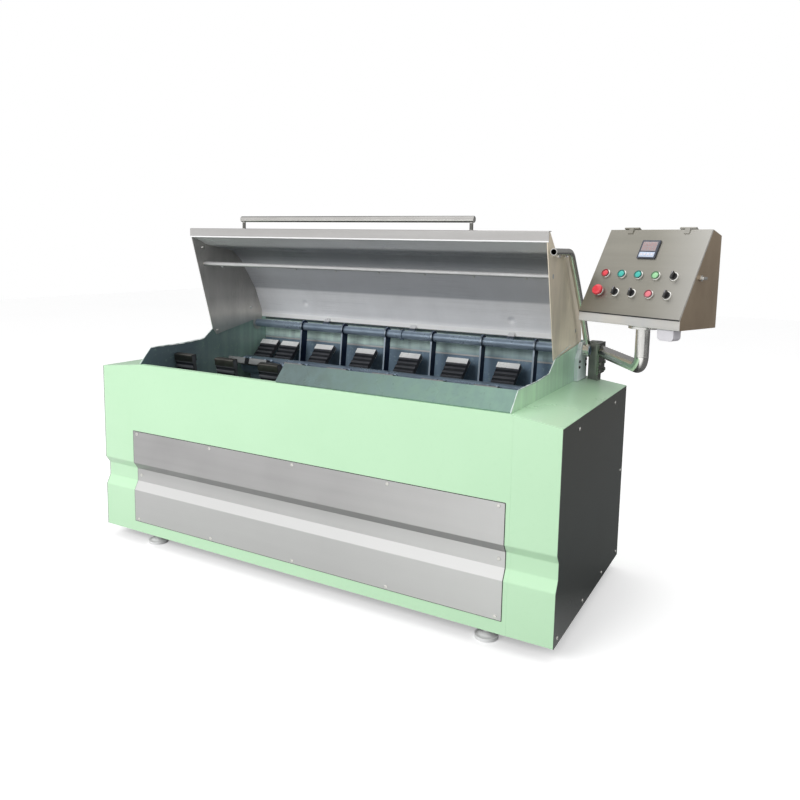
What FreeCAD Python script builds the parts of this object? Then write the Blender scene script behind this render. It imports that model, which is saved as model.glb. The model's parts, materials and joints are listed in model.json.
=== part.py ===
"""Double-roller pig dehairing machine: cabinet, two paddle drums, tipping hood and swivel console.

Millimetres. While the model is drawn, X runs along the cabinet from its left end, Y goes back from
its front face and Z goes up from the floor. The finished model is moved so that its origin is the
middle of its footprint, on the floor.
"""
import FreeCAD, Part
import math
import os

V = FreeCAD.Vector

# Cabinet
body_length = 2090.0
body_depth = 865.0
floor_gap = 55.0
lip_rise = 750.0
end_deck_drop = 24.0
left_bay = 229.0
right_bay = 175.0
cover_sheet = 2.0
trough_sheet = 3.0
corner_panel_width = 165.0

# Frame
tube_size = 50.0
frame_setback = 24.0
foot_inset = 255.0
foot_radius = 42.0
foot_front = 59.0
foot_back_inset = 44.0
foot_pad_height = 12.0
foot_stem_radius = 10.0

# Recessed band pressed across the front
recess_depth = 20.0
recess_bottom = 187.0
recess_floor_low = 225.0
recess_floor_high = 282.0
recess_top = 312.0

# Service panel
panel_margin = 17.0
panel_bottom = 49.0
panel_top = 453.0
panel_screw_inset = 22.0
screw_radius = 3.0
screw_head_radius = 7.0
screw_head_height = 3.0
screw_grip = 8.0
front_screw_grip = 5.0
hole_clearance = 0.3
cover_screw_low = 24.0
cover_screw_high = 40.0

# Trough end walls
shoulder_depth = 66.0
shoulder_rise = 65.0
wall_step_start = 385.0
wall_step_end = 450.0
wall_step_rise = 120.0
wall_back_rise = 153.0
liner_inset = 33.0
liner_reach_down = 320.0
liner_rise = 150.0
apron_length = 952.0
apron_foot = 3.0

# Hair chute and its outlet
chute_front_height = 400.0
chute_back_height = 160.0
outlet_margin = 400.0
outlet_height = 130.0

# Drums
front_drum_y = 225.0
front_drum_drop = 130.0
rear_drum_inset = 197.0
rear_drum_drop = 82.0
drum_radius = 44.5
drum_wall = 5.0
drum_end_gap = 12.0
stub_radius = 22.5
shaft_clearance = 0.05
paddle_tip_radius = 160.0
paddle_width = 103.0
paddle_thickness = 24.0
paddle_rows = 3
front_row_angle = -8.0
rear_row_angle = 47.0
claw_length = 30.0
claw_sheet = 3.0
lug_thickness = 6.0
lug_width = 80.0
lug_height = 62.0

# Comb ribs behind the rear drum
rib_pitch = 240.0
first_rib_inset = 301.0
last_rib_gap = 60.0
rib_thickness = 8.0
rib_depth = 44.0
rib_eye_radius = 30.0
comb_rail_size = 40.0
comb_rail_set_back = 22.0
comb_rail_drop = 300.0
first_paddle_inset = 81.0
second_paddle_inset = 211.0

# Bearings and chains
bearing_size = 120.0
bearing_flange = 14.0
bearing_boss_radius = 40.0
bearing_boss_length = 22.0
chain_pitch = 19.05
drive_teeth = 18
motor_teeth = 14
link_teeth = 16
sprocket_width = 10.0
drive_chain_x = 150.0
link_chain_x = 112.0
chain_gap = 0.5
chain_plate = 2.5
chain_half_height = 8.5

# Gearmotor
motor_y = 230.0
motor_z = 190.0
gearbox_x = 180.0
gearbox_length = 200.0
gearbox_width = 200.0
gearbox_height = 226.0
motor_radius = 84.0
motor_length = 270.0
motor_fin_count = 20
motor_shaft_radius = 17.5
mount_plate_thickness = 12.0

# Hood
hinge_inset = 101.0
hinge_lift = 120.0
hood_shaft_radius = 19.0
strap_sheet = 6.0
strap_lap = 16.0
hood_sheet = 2.5
hood_plate = 3.0
hood_side_gap = 2.0
hood_rail_height = 40.0
hood_rail_return = 26.0
hood_reach = 454.0
hood_rise = 427.0
handle_inset = 294.0
handle_length = 1105.0
handle_radius = 12.5
handle_lift = 40.0
handle_post_radius = 7.0
spray_reach = 371.0
spray_rise = 307.0
spray_radius = 9.0
nozzle_count = 8
arm_tube_radius = 12.5
arm_tube_bore = 10.0
arm_tube_top_gap = 15.0
arm_tube_foot_gap = 30.0
arm_tube_bend = 60.0
collar_offset = 17.5
collar_width = 12.0
hood_bearing_width = 130.0
hood_bearing_thickness = 16.0

# Console arm and console
pipe_radius = 24.15
pipe_bore = 21.1
pipe_lift = 118.0
pipe_bend_radius = 40.0
pipe_start_offset = (76.0, 37.0)
swivel_offset = (307.0, -313.0)
arm_plate_thickness = 8.0
arm_plate_width = 98.0
arm_plate_above = 34.0
arm_plate_below = 92.0
arm_post_width = 43.0
swivel_flange_radius = 50.0
swivel_flange_thickness = 8.0
console_turn = -22.8
console_width = 400.0
console_lift = 273.0
console_front = -102.0
console_back = 116.0
console_lip = 33.0
face_length = 336.0
face_lean = 29.5
console_top_drop = 19.0
console_sheet = 2.0
lid_sheet = 2.5
lid_gap = 0.4
lid_margin = 1.0
hinge_rise = 4.0
hinge_middles = (-110.0, 110.0)
knuckle_radius = 3.6
knuckle_half = 10.0
hinge_pin_radius = 1.5
display_size = 72.0
display_height = 6.0
operator_pitch = 67.5
first_operator = 54.0
upper_row = 154.0
lower_row = 83.0
display_place = (192.0, 254.0)
button_radius = 12.5
button_travel = 3.0
ring_radius = 16.5
ring_height = 4.0
fit_gap = 0.3
catch_pin_radius = 3.0
catch_pin_length = 9.0

# Places that follow from the sizes
left_inner = left_bay
left_outer = left_bay - trough_sheet
right_outer = body_length - right_bay
right_inner = right_outer - trough_sheet
trough_middle = (left_inner + right_inner) / 2
frame_back = body_depth - cover_sheet
liner_back = body_depth - liner_inset
liner_bottom = lip_rise - liner_reach_down
liner_top = lip_rise + liner_rise
apron_start = right_inner - apron_length
front_drum_z = lip_rise - front_drum_drop
rear_drum_y = body_depth - rear_drum_inset
rear_drum_z = lip_rise - rear_drum_drop
comb_rail_y = rear_drum_y + comb_rail_set_back
comb_rail_z = lip_rise - comb_rail_drop
first_rib = left_inner + first_rib_inset
rib_count = int((right_inner - last_rib_gap - first_rib) // rib_pitch) + 1
rib_places = [first_rib + rib_pitch * i for i in range(rib_count)]
front_stations = [first_rib - rib_pitch] + rib_places
rear_stations = [left_inner + first_paddle_inset, left_inner + second_paddle_inset]
rear_stations += [x + rib_pitch / 2 for x in rib_places[:-1]]
hinge_y = body_depth - hinge_inset
hinge_z = lip_rise + hinge_lift
hood_front_y = hinge_y - hood_reach
hood_front_z = hinge_z + hood_rise
handle_start = left_inner + handle_inset
spray_y = hinge_y - spray_reach
spray_z = hinge_z + spray_rise
arm_tube_top_x = right_outer + arm_tube_top_gap
arm_tube_foot_x = right_outer + arm_tube_foot_gap
pipe_z = lip_rise + pipe_lift
pipe_start = (right_outer + pipe_start_offset[0], hinge_y + pipe_start_offset[1])
swivel = (right_outer + swivel_offset[0], hinge_y + swivel_offset[1])
console_bottom = lip_rise + console_lift


def up(height):
    """Height above the floor of a height measured from the skirt's bottom edge."""
    return floor_gap + height


def box(x0, x1, y0, y1, z0, z1):
    """Block between two corners."""
    return Part.makeBox(x1 - x0, y1 - y0, z1 - z0, V(x0, y0, z0))


def rod(start, end, radius):
    """Round bar between two points."""
    start, end = V(*start), V(*end)
    return Part.makeCylinder(radius, (end - start).Length, start, end - start)


def pipe(start, end, radius, bore):
    """Round tube between two points."""
    return rod(start, end, radius).cut(rod(start, end, bore))


def group(solids):
    """Several separate solids kept as one sub-part."""
    found = []
    for solid in solids:
        found += solid.Solids
    return Part.makeCompound(found)


def fused(solids):
    """One solid from touching or crossing ones."""
    return solids[0].multiFuse(solids[1:]).removeSplitter()


def path_edges(points, radius, side, closed=False):
    """Straight runs joined by tangent arcs, shifted sideways by side from the line of points.

    The radius is that of the bend on the unshifted line, and the points are (u, v) pairs.
    """
    flat = [V(u, v, 0) for u, v in points]
    count = len(flat)
    runs = []
    for i in range(count if closed else count - 1):
        run = flat[(i + 1) % count] - flat[i]
        runs.append(run.normalize())
    left = [V(-run.y, run.x, 0) for run in runs]
    edges = []
    first = None if closed else flat[0] + left[0] * side
    last = first
    corners = range(count) if closed else range(1, count - 1)
    for i in corners:
        before, after = runs[i - 1], runs[i % len(runs)]
        turn = math.atan2(before.cross(after).z, before.dot(after))
        reach = radius * math.tan(abs(turn) / 2)
        enter = flat[i] - before * reach + left[i - 1] * side
        leave = flat[i] + after * reach + left[i % len(runs)] * side
        centre = flat[i] - before * reach + left[i - 1] * (radius if turn > 0 else -radius)
        middle = centre + (flat[i] - centre).normalize() * (enter - centre).Length
        if last is None:
            first = enter
        else:
            edges.append(Part.LineSegment(last, enter).toShape())
        edges.append(Part.Arc(enter, middle, leave).toShape())
        last = leave
    end = first if closed else flat[-1] + left[-1] * side
    edges.append(Part.LineSegment(last, end).toShape())
    return edges


def stand_up(face, x0, x1):
    """Carries a face drawn in (y, z) from x0 to x1."""
    face.transformShape(FreeCAD.Matrix(0, 0, 1, x0, 1, 0, 0, 0, 0, 1, 0, 0, 0, 0, 0, 1))
    return face.extrude(V(x1 - x0, 0, 0))


def folded_sheet(points, thickness, radius, x0, x1, shift=0.0):
    """Bent sheet along X whose middle line runs beside the line of points (y, z), shifted to its left."""
    left = path_edges(points, radius, shift + thickness / 2)
    right = path_edges(points, radius, shift - thickness / 2)
    caps = [
        Part.LineSegment(left[0].Vertexes[0].Point, right[0].Vertexes[0].Point).toShape(),
        Part.LineSegment(left[-1].Vertexes[-1].Point, right[-1].Vertexes[-1].Point).toShape(),
    ]
    wire = Part.Wire(Part.__sortEdges__(left + right + caps))
    return stand_up(Part.Face(wire), x0, x1)


def plate(points, x0, x1, radius=0.0):
    """Flat plate of thickness x0 to x1 with the outline points (y, z) and rounded corners."""
    if radius:
        wire = Part.Wire(Part.__sortEdges__(path_edges(points, radius, 0.0, closed=True)))
    else:
        corners = [V(u, v, 0) for u, v in points]
        wire = Part.makePolygon(corners + corners[:1])
    return stand_up(Part.Face(wire), x0, x1)


def front_plate(points, y0, y1):
    """Flat plate of thickness y0 to y1 with the outline points (x, z)."""
    corners = [V(x, y0, z) for x, z in points]
    face = Part.Face(Part.makePolygon(corners + corners[:1]))
    return face.extrude(V(0, y1 - y0, 0))


def turned(shape, centre, axis, angle):
    """Copy turned about an axis through centre."""
    copy = shape.copy()
    copy.rotate(V(*centre), V(*axis), angle)
    return copy


# Front covers

def recess_path(skin_y, low, high):
    """Middle line of a front sheet whose pressed band goes back by the recess depth."""
    return [
        (skin_y, up(low)),
        (skin_y, up(recess_bottom)),
        (skin_y + recess_depth, up(recess_floor_low)),
        (skin_y + recess_depth, up(recess_floor_high)),
        (skin_y, up(recess_top)),
        (skin_y, up(high)),
    ]


def deck_height(x):
    """Top of the end decks, which fall from the trough towards the ends."""
    if x < left_outer:
        return lip_rise - end_deck_drop * (left_outer - x) / left_outer
    if x > right_outer:
        return lip_rise - end_deck_drop * (x - right_outer) / right_bay
    return lip_rise


surround_left = corner_panel_width
surround_right = body_length - corner_panel_width
panel_left = surround_left + panel_margin
panel_right = surround_right - panel_margin
screw_columns = [panel_left + panel_screw_inset + (panel_right - panel_left - 2 * panel_screw_inset) * i / 4
                 for i in range(5)]
screw_top = up(panel_top) - panel_screw_inset / 2
screw_bottom = up(panel_bottom) + panel_screw_inset / 2
screw_middle = up((recess_floor_low + recess_floor_high) / 2)


def service_screws():
    """Places of the service panel's screws and how far back each stands."""
    places = [(x, 0.0, z) for x in screw_columns for z in (screw_bottom, screw_top)]
    places += [(x, recess_depth, screw_middle) for x in (screw_columns[0], screw_columns[-1])]
    return places


def screw(x, y, z, direction, grip):
    """Round-headed screw whose head stands on the point and whose shank goes the other way."""
    out = V(*direction)
    point = V(x, y, z)
    head = Part.makeCylinder(screw_head_radius, screw_head_height, point, out)
    rim = [e for e in head.Edges if abs((e.CenterOfMass - point).dot(out) - screw_head_height) < 0.01]
    head = head.makeFillet(screw_head_height * 0.6, rim)
    shank = Part.makeCylinder(screw_radius, grip, point - out * grip, out)
    return head.fuse(shank).removeSplitter()


def drilled(shape, places, direction, depth):
    """Shape with clearance holes for screws at the places."""
    out = V(*direction)
    holes = [Part.makeCylinder(screw_radius + hole_clearance, 2 * depth, V(*place) - out * depth, out)
             for place in places]
    return shape.cut(Part.makeCompound(holes))


def front_surround():
    """Painted frame around the service panel, with the folded lip of the trough."""
    low, high = up(panel_top) - 2 * panel_screw_inset, up(lip_rise)
    band = front_plate([
        (surround_left, low),
        (surround_right, low),
        (surround_right, up(deck_height(surround_right)) - cover_sheet),
        (right_outer, high - cover_sheet),
        (right_outer, high),
        (left_outer, high),
        (left_outer, high - cover_sheet),
        (surround_left, up(deck_height(surround_left)) - cover_sheet),
    ], 0, cover_sheet)
    lip = box(left_inner, right_inner, cover_sheet, frame_setback, high - cover_sheet, high)
    hem = box(left_inner, right_inner, frame_setback - cover_sheet, frame_setback,
              high - frame_setback, high - cover_sheet)
    sill_top = panel_bottom + 2 * panel_screw_inset
    sill = box(surround_left, surround_right, 0, cover_sheet, up(0), up(sill_top))
    strip_width = panel_margin + 2 * panel_screw_inset
    path = recess_path(cover_sheet / 2, sill_top, panel_top - 2 * panel_screw_inset)
    strips = [folded_sheet(path, cover_sheet, 6.0, x, x + strip_width)
              for x in (surround_left, surround_right - strip_width)]
    whole = fused([band, lip, hem, sill] + strips)
    return drilled(whole, service_screws(), (0, 1, 0), 4 * cover_sheet)


def corner_panel(x0, x1):
    """Full-height painted panel at one front corner, with the pressed band."""
    path = recess_path(cover_sheet / 2, 0, lip_rise)
    sheet = folded_sheet(path, cover_sheet, 14.0, x0, x1)
    edge = cover_sheet
    keep = front_plate([
        (x0, up(0)),
        (x1, up(0)),
        (x1, up(deck_height(x1)) - edge),
        (x0, up(deck_height(x0)) - edge),
    ], -1, 2 * recess_depth)
    return sheet.common(keep)


def service_panel():
    """Stainless panel screwed over the opening in the front."""
    path = recess_path(cover_sheet / 2, panel_bottom, panel_top)
    sheet = folded_sheet(path, cover_sheet, 6.0, panel_left, panel_right, shift=cover_sheet)
    return drilled(sheet, service_screws(), (0, 1, 0), 4 * cover_sheet)


def side_panel(x0):
    """Dark end panel, notched where the front's pressed band meets it."""
    deck = up(lip_rise - end_deck_drop) - cover_sheet
    outline = [
        (0, up(0)),
        (body_depth, up(0)),
        (body_depth, deck),
        (0, deck),
        (0, up(recess_top)),
        (recess_depth, up(recess_floor_high)),
        (recess_depth, up(recess_floor_low)),
        (0, up(recess_bottom)),
    ]
    return drilled(plate(outline, x0, x0 + cover_sheet), side_screws(x0), (1, 0, 0), 2 * cover_sheet)


def side_screws(x):
    """Places of an end panel's screws."""
    low, high = up(cover_screw_low), up(lip_rise - end_deck_drop - cover_screw_high)
    last = body_depth - 30.0
    rows = [(y, low) for y in (36.0, 333.0, last - 235.0, last)]
    rows += [(y, high) for y in (187.0, last - 155.0)]
    rows += [(last, up(lip_rise / 2))]
    return [(x, y, z) for y, z in rows]


def back_screws():
    """Places of the back panel's screws."""
    low, high = up(cover_screw_low), up(lip_rise - end_deck_drop - cover_screw_high)
    first = cover_sheet + tube_size / 2
    pitch = (body_length - 2 * first) / 5
    return [(first + pitch * i, body_depth, z) for i in range(6) for z in (low, high)]


def back_panel():
    """Rear cover, raised behind the trough, with the hair outlet cut through."""
    ends = up(lip_rise - end_deck_drop) - cover_sheet
    middle = up(lip_rise) - cover_sheet
    outline = [
        (cover_sheet, up(0)),
        (body_length - cover_sheet, up(0)),
        (body_length - cover_sheet, ends),
        (right_outer, middle),
        (right_outer, up(liner_top)),
        (left_outer, up(liner_top)),
        (left_outer, middle),
        (cover_sheet, ends),
    ]
    sheet = front_plate(outline, body_depth - cover_sheet, body_depth)
    outlet = box(outlet_margin, body_length - outlet_margin, body_depth - tube_size, body_depth + 1,
                 up(chute_back_height) + 2, up(chute_back_height) + outlet_height)
    return drilled(sheet.cut(outlet), back_screws(), (0, 1, 0), 2 * cover_sheet)


def end_deck(x0, x1):
    """Sloping cover over one end bay."""
    def corner(x):
        return x, up(deck_height(x))
    return front_plate([
        (x0, corner(x0)[1] - cover_sheet),
        (x1, corner(x1)[1] - cover_sheet),
        corner(x1),
        corner(x0),
    ], 0, body_depth)


def cover_screws():
    """All screws of the front, end and back covers and of the wall behind the hood's bearing."""
    found = [screw(x, y - cover_sheet, z, (0, -1, 0), front_screw_grip) for x, y, z in service_screws()]
    found += [screw(*place, (-1, 0, 0), screw_grip) for place in side_screws(0.0)]
    found += [screw(*place, (1, 0, 0), screw_grip) for place in side_screws(body_length)]
    found += [screw(*place, (0, 1, 0), screw_grip) for place in back_screws()]
    return group(found)


# Frame and feet

def base_frame():
    """Welded square-tube frame, one solid for each tube."""
    t = tube_size
    front, back = frame_setback, frame_back
    ends = (cover_sheet, body_length - cover_sheet)
    low, high = up(0), up(t)
    tubes = [
        box(ends[0], ends[1], front, front + t, low, high),
        box(ends[0], ends[1], back - t, back, low, high),
    ]
    inner = (front + t, back - t)
    crosses = [ends[0], ends[1] - t, left_outer - t, right_outer, gearbox_x + t, gearbox_x + 380.0]
    tubes += [box(x, x + t, inner[0], inner[1], low, high) for x in crosses]
    post_top = up(lip_rise - end_deck_drop) - 2 * cover_sheet
    for x in (ends[0], ends[1] - t, left_outer - t, right_outer):
        tubes.append(box(x, x + t, front, front + t, high, post_top))
        tubes.append(box(x, x + t, back - t, back, high, post_top))
    hollow = group([hollow_tube(tube) for tube in tubes])
    depth = screw_grip + 2.0
    hollow = drilled(hollow, back_screws(), (0, 1, 0), depth)
    return drilled(hollow, side_screws(0.0) + side_screws(body_length), (1, 0, 0), depth)


def hollow_tube(block):
    """Square tube of the block's outer size, open at both ends of its longest side."""
    wall = 3.0
    b = block.BoundBox
    sizes = [b.XLength, b.YLength, b.ZLength]
    trim = [0.0 if size == max(sizes) else wall for size in sizes]
    inside = box(b.XMin + trim[0], b.XMax - trim[0], b.YMin + trim[1], b.YMax - trim[1],
                 b.ZMin + trim[2], b.ZMax - trim[2])
    return block.cut(inside)


def levelling_feet():
    """Four round feet on threaded stems under the long rails."""
    found = []
    for x in (foot_inset, body_length - foot_inset):
        for y in (foot_front, body_depth - foot_back_inset):
            pad = Part.makeCylinder(foot_radius, foot_pad_height, V(x, y, 0))
            top = V(x, y, foot_pad_height)
            cone = Part.makeCone(foot_radius * 0.8, foot_stem_radius * 1.4, foot_pad_height, top)
            stem = Part.makeCylinder(foot_stem_radius, floor_gap - foot_pad_height, top)
            nut = Part.makeCylinder(foot_stem_radius * 1.6, 10.0, V(x, y, floor_gap - 10.0))
            found.append(fused([pad, cone, stem, nut]))
    return group(found)


# Trough

def wall_outline():
    """Outline (y, z) of a trough end wall."""
    front = cover_sheet
    return [
        (front, up(chute_front_height) - 10.0),
        (frame_back, up(chute_back_height) - 20.0),
        (frame_back, up(liner_top)),
        (liner_back, up(lip_rise + wall_back_rise)),
        (wall_step_end, up(lip_rise + wall_step_rise)),
        (wall_step_start, up(lip_rise + shoulder_rise + 8.0)),
        (wall_step_start - 120.0, up(lip_rise + shoulder_rise)),
        (shoulder_depth, up(lip_rise + shoulder_rise)),
        (front, up(lip_rise)),
    ]


def trough_wall(x0):
    """Painted end wall of the trough with its shaft holes."""
    wall = plate(wall_outline(), x0, x0 + trough_sheet)
    shafts = [
        (front_drum_y, up(front_drum_z), stub_radius + 6.0),
        (rear_drum_y, up(rear_drum_z), stub_radius + 6.0),
        (hinge_y, up(hinge_z), hood_shaft_radius + 0.5),
    ]
    past = x0 + trough_sheet + 1
    holes = [rod((x0 - 1, y, z), (past, y, z), radius) for y, z, radius in shafts]
    return wall.cut(Part.makeCompound(holes))


def rear_liner():
    """Back sheet of the trough, folded over to the back panel at its top."""
    half = cover_sheet / 2
    path = [
        (liner_back, up(liner_bottom)),
        (liner_back, up(liner_top) - half),
        (frame_back, up(liner_top) - half),
    ]
    return folded_sheet(path, cover_sheet, 6.0, left_inner, right_inner)


def front_apron():
    """Sloping splash plate on the lip's right part."""
    half = cover_sheet / 2
    top = (shoulder_depth, up(lip_rise + shoulder_rise) + half)
    path = [(frame_setback - 1.0, up(lip_rise) + half), (apron_foot, up(lip_rise) + half), top]
    return folded_sheet(path, cover_sheet, 3.0, apron_start, right_inner)


def hair_chute():
    """Sloping sheet under the drums that leads hair and water to the outlet."""
    front, past = cover_sheet * 1.5, 10.0
    fall = (chute_front_height - chute_back_height) / (frame_back - front)
    path = [
        (front, up(chute_front_height) + 30.0),
        (front, up(chute_front_height)),
        (frame_back + past, up(chute_back_height) - fall * past),
    ]
    sheet = folded_sheet(path, cover_sheet, 8.0, left_inner, right_inner)
    beyond = box(left_inner, right_inner, frame_back, body_depth + past, 0, up(chute_back_height) + past)
    return sheet.cut(beyond)


def comb_ribs():
    """Flat bars between the paddles, each with an eye around the hood's shaft, and their rail."""
    top = (hinge_y - rib_eye_radius + 6.0, up(hinge_z) - 6.0)
    rail_top = up(comb_rail_z) + comb_rail_size
    line = [
        (hinge_y, up(hinge_z)),
        top,
        (rear_drum_y + 55.0, up(rear_drum_z) + 30.0),
        (rear_drum_y + 53.0, up(rear_drum_z) - 30.0),
        (comb_rail_y + 4.0, rail_top + 70.0),
        (comb_rail_y + 4.0, rail_top),
        (comb_rail_y + comb_rail_size, rail_top),
        (comb_rail_y + comb_rail_size, rail_top + 50.0),
        (rear_drum_y + 53.0 + rib_depth, up(rear_drum_z) - 40.0),
        (rear_drum_y + 57.0 + rib_depth, up(rear_drum_z) + 40.0),
        (hinge_y + rib_eye_radius - 8.0, up(hinge_z) - 16.0),
    ]
    found = []
    for x in rib_places:
        x0, x1 = x - rib_thickness / 2, x + rib_thickness / 2
        axis = ((x0, hinge_y, up(hinge_z)), (x1, hinge_y, up(hinge_z)))
        bar = plate(line, x0, x1).fuse(rod(*axis, rib_eye_radius))
        found.append(bar.cut(rod(*axis, hood_shaft_radius + 0.4)).removeSplitter())
    rail = box(left_inner, right_inner, comb_rail_y, comb_rail_y + comb_rail_size,
               up(comb_rail_z), up(comb_rail_z) + comb_rail_size)
    found.append(hollow_tube(rail))
    return group(found)


# Drums

def paddle_place(shape, x, y, z, angle):
    """Moves a paddle piece drawn upright on the X axis's origin to its station and row."""
    copy = shape.copy()
    copy.rotate(V(0, 0, 0), V(1, 0, 0), -angle)
    copy.translate(V(x, y, z))
    return copy


def paddle_copies(shape, stations, y, z, first_angle):
    """A paddle piece at every station and row of a drum."""
    found = []
    for x in stations:
        for row in range(paddle_rows):
            found.append(paddle_place(shape, x, y, z, first_angle + 360.0 * row / paddle_rows))
    return group(found)


def drum(y, z, left_end, right_end):
    """Tube with closed ends and stub shafts, and the lugs that hold the paddles."""
    x0, x1 = left_inner + drum_end_gap, right_inner - drum_end_gap
    outside = rod((x0, y, z), (x1, y, z), drum_radius)
    inside = rod((x0 + 10, y, z), (x1 - 10, y, z), drum_radius - drum_wall)
    left_stub = rod((left_end, y, z), (x0 + 5, y, z), stub_radius)
    right_stub = rod((x1 - 5, y, z), (right_end, y, z), stub_radius)
    return outside.cut(inside).multiFuse([left_stub, right_stub]).removeSplitter()


def lug():
    """Steel plate behind a paddle, shaped to the drum, with two bolt heads."""
    y0 = paddle_thickness / 2
    blank = box(-lug_width / 2, lug_width / 2, y0, y0 + lug_thickness, 0, drum_radius + lug_height)
    blank = blank.cut(rod((-lug_width, 0, 0), (lug_width, 0, 0), drum_radius))
    heads = [rod((x, y0 + lug_thickness, drum_radius + lug_height * 0.6),
                 (x, y0 + lug_thickness + 7.0, drum_radius + lug_height * 0.6), 9.0)
             for x in (-lug_width / 4, lug_width / 4)]
    return fused([blank] + heads)


def rubber():
    """Moulded rubber paddle with ridges across its working face."""
    half = paddle_width / 2
    front, back = -paddle_thickness / 2, paddle_thickness / 2
    root = drum_radius + 1.0
    tip = paddle_tip_radius - claw_sheet
    ridges = 4
    ridge_low, ridge_high = root + 10.0, paddle_tip_radius - claw_length
    pitch = (ridge_high - ridge_low) / ridges
    line = [(front + 3.0, root), (back, root), (back, tip), (front, tip), (front, ridge_high)]
    for i in range(ridges):
        top = ridge_high - pitch * i
        line += [(front + 3.0, top - 2.0), (front + 3.0, top - 6.0), (front, top - 8.0)]
        if i < ridges - 1:
            line.append((front, top - pitch))
    line.append((front + 3.0, ridge_low))
    return plate(line, -half, half)


def claw():
    """Steel cap over a paddle's tip."""
    half = paddle_width / 2
    front, back = -paddle_thickness / 2, paddle_thickness / 2
    low = paddle_tip_radius - claw_length
    outer = box(-half, half, front - claw_sheet, back + claw_sheet, low, paddle_tip_radius)
    inner = box(-half - 1, half + 1, front, back, low - 1, paddle_tip_radius - claw_sheet)
    notch_floor = paddle_tip_radius - claw_sheet + 1.0
    notches = [box(x - 6.0, x + 6.0, front - 10, back + 10, notch_floor, paddle_tip_radius + 1)
               for x in (-half / 2, 0, half / 2)]
    return outer.cut(Part.makeCompound([inner] + notches))


def chain_radius(teeth):
    """Pitch radius of a sprocket."""
    return chain_pitch / (2 * math.sin(math.pi / teeth))


def sprocket(x, y, z, teeth, hub_radius, bore):
    """Toothed wheel with a hub, standing on the shaft along X."""
    outer = chain_radius(teeth) + chain_pitch * 0.3
    root = chain_radius(teeth) - chain_pitch * 0.31
    wheel = rod((x, y, z), (x + sprocket_width, y, z), outer)
    gaps = []
    for i in range(teeth):
        angle = 2 * math.pi * i / teeth
        centre_y = y + chain_radius(teeth) * math.cos(angle)
        centre_z = z + chain_radius(teeth) * math.sin(angle)
        gaps.append(rod((x - 1, centre_y, centre_z), (x + sprocket_width + 1, centre_y, centre_z),
                        chain_pitch * 0.31))
    wheel = wheel.cut(Part.makeCompound(gaps))
    hub = rod((x, y, z), (x + sprocket_width + 14.0, y, z), min(hub_radius, root - 4))
    return wheel.fuse(hub).cut(rod((x - 1, y, z), (x + sprocket_width + 20.0, y, z), bore)).removeSplitter()


def belt_line(y0, z0, r0, y1, z1, r1):
    """Closed line (y, z) of straight runs and arcs around two circles."""
    span = math.hypot(y1 - y0, z1 - z0)
    heading = math.atan2(z1 - z0, y1 - y0)
    lean = math.acos((r0 - r1) / span)

    def on_circle(y, z, radius, angle):
        return V(y + radius * math.cos(angle), z + radius * math.sin(angle), 0)
    first = [on_circle(y0, z0, r0, heading + side * lean) for side in (1, -1)]
    second = [on_circle(y1, z1, r1, heading + side * lean) for side in (1, -1)]
    far_first = on_circle(y0, z0, r0, heading + math.pi)
    far_second = on_circle(y1, z1, r1, heading)
    return Part.Wire([
        Part.Arc(first[0], far_first, first[1]).toShape(),
        Part.LineSegment(first[1], second[1]).toShape(),
        Part.Arc(second[1], far_second, second[0]).toShape(),
        Part.LineSegment(second[0], first[0]).toShape(),
    ])


def chain(x, ends):
    """The two rows of link plates of a roller chain around two sprockets."""
    (y0, z0, t0), (y1, z1, t1) = ends
    found = []
    for side in (x - chain_gap - chain_plate, x + sprocket_width + chain_gap):
        shells = []
        for grow in (chain_half_height, -chain_half_height):
            line = belt_line(y0, z0, chain_radius(t0) + grow, y1, z1, chain_radius(t1) + grow)
            shells.append(stand_up(Part.Face(line), side, side + chain_plate))
        found.append(shells[0].cut(shells[1]))
    return group(found)


def drum_bearings():
    """Square flange bearings outside the trough's end walls."""
    found = []
    half = bearing_size / 2
    for y, z in ((front_drum_y, up(front_drum_z)), (rear_drum_y, up(rear_drum_z))):
        for x, way in ((left_outer, -1), (right_outer, 1)):
            near, far = sorted((x, x + way * bearing_flange))
            flange = box(near, far, y - half, y + half, z - half, z + half)
            corners = [e for e in flange.Edges if abs(e.BoundBox.XLength - bearing_flange) < 0.01]
            flange = flange.makeFillet(18.0, corners)
            tip = x + way * (bearing_flange + bearing_boss_length)
            boss = rod((x + way * bearing_flange / 2, y, z), (tip, y, z), bearing_boss_radius)
            nuts = [rod((x + way * bearing_flange / 2, y + sy * half * 0.68, z + sz * half * 0.68),
                        (x + way * (bearing_flange + 9), y + sy * half * 0.68, z + sz * half * 0.68), 9.0)
                    for sy in (-1, 1) for sz in (-1, 1)]
            whole = fused([flange, boss] + nuts)
            found.append(whole.cut(rod((x - 60, y, z), (x + 60, y, z), stub_radius + shaft_clearance)))
    return group(found)


# Drive

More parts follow.
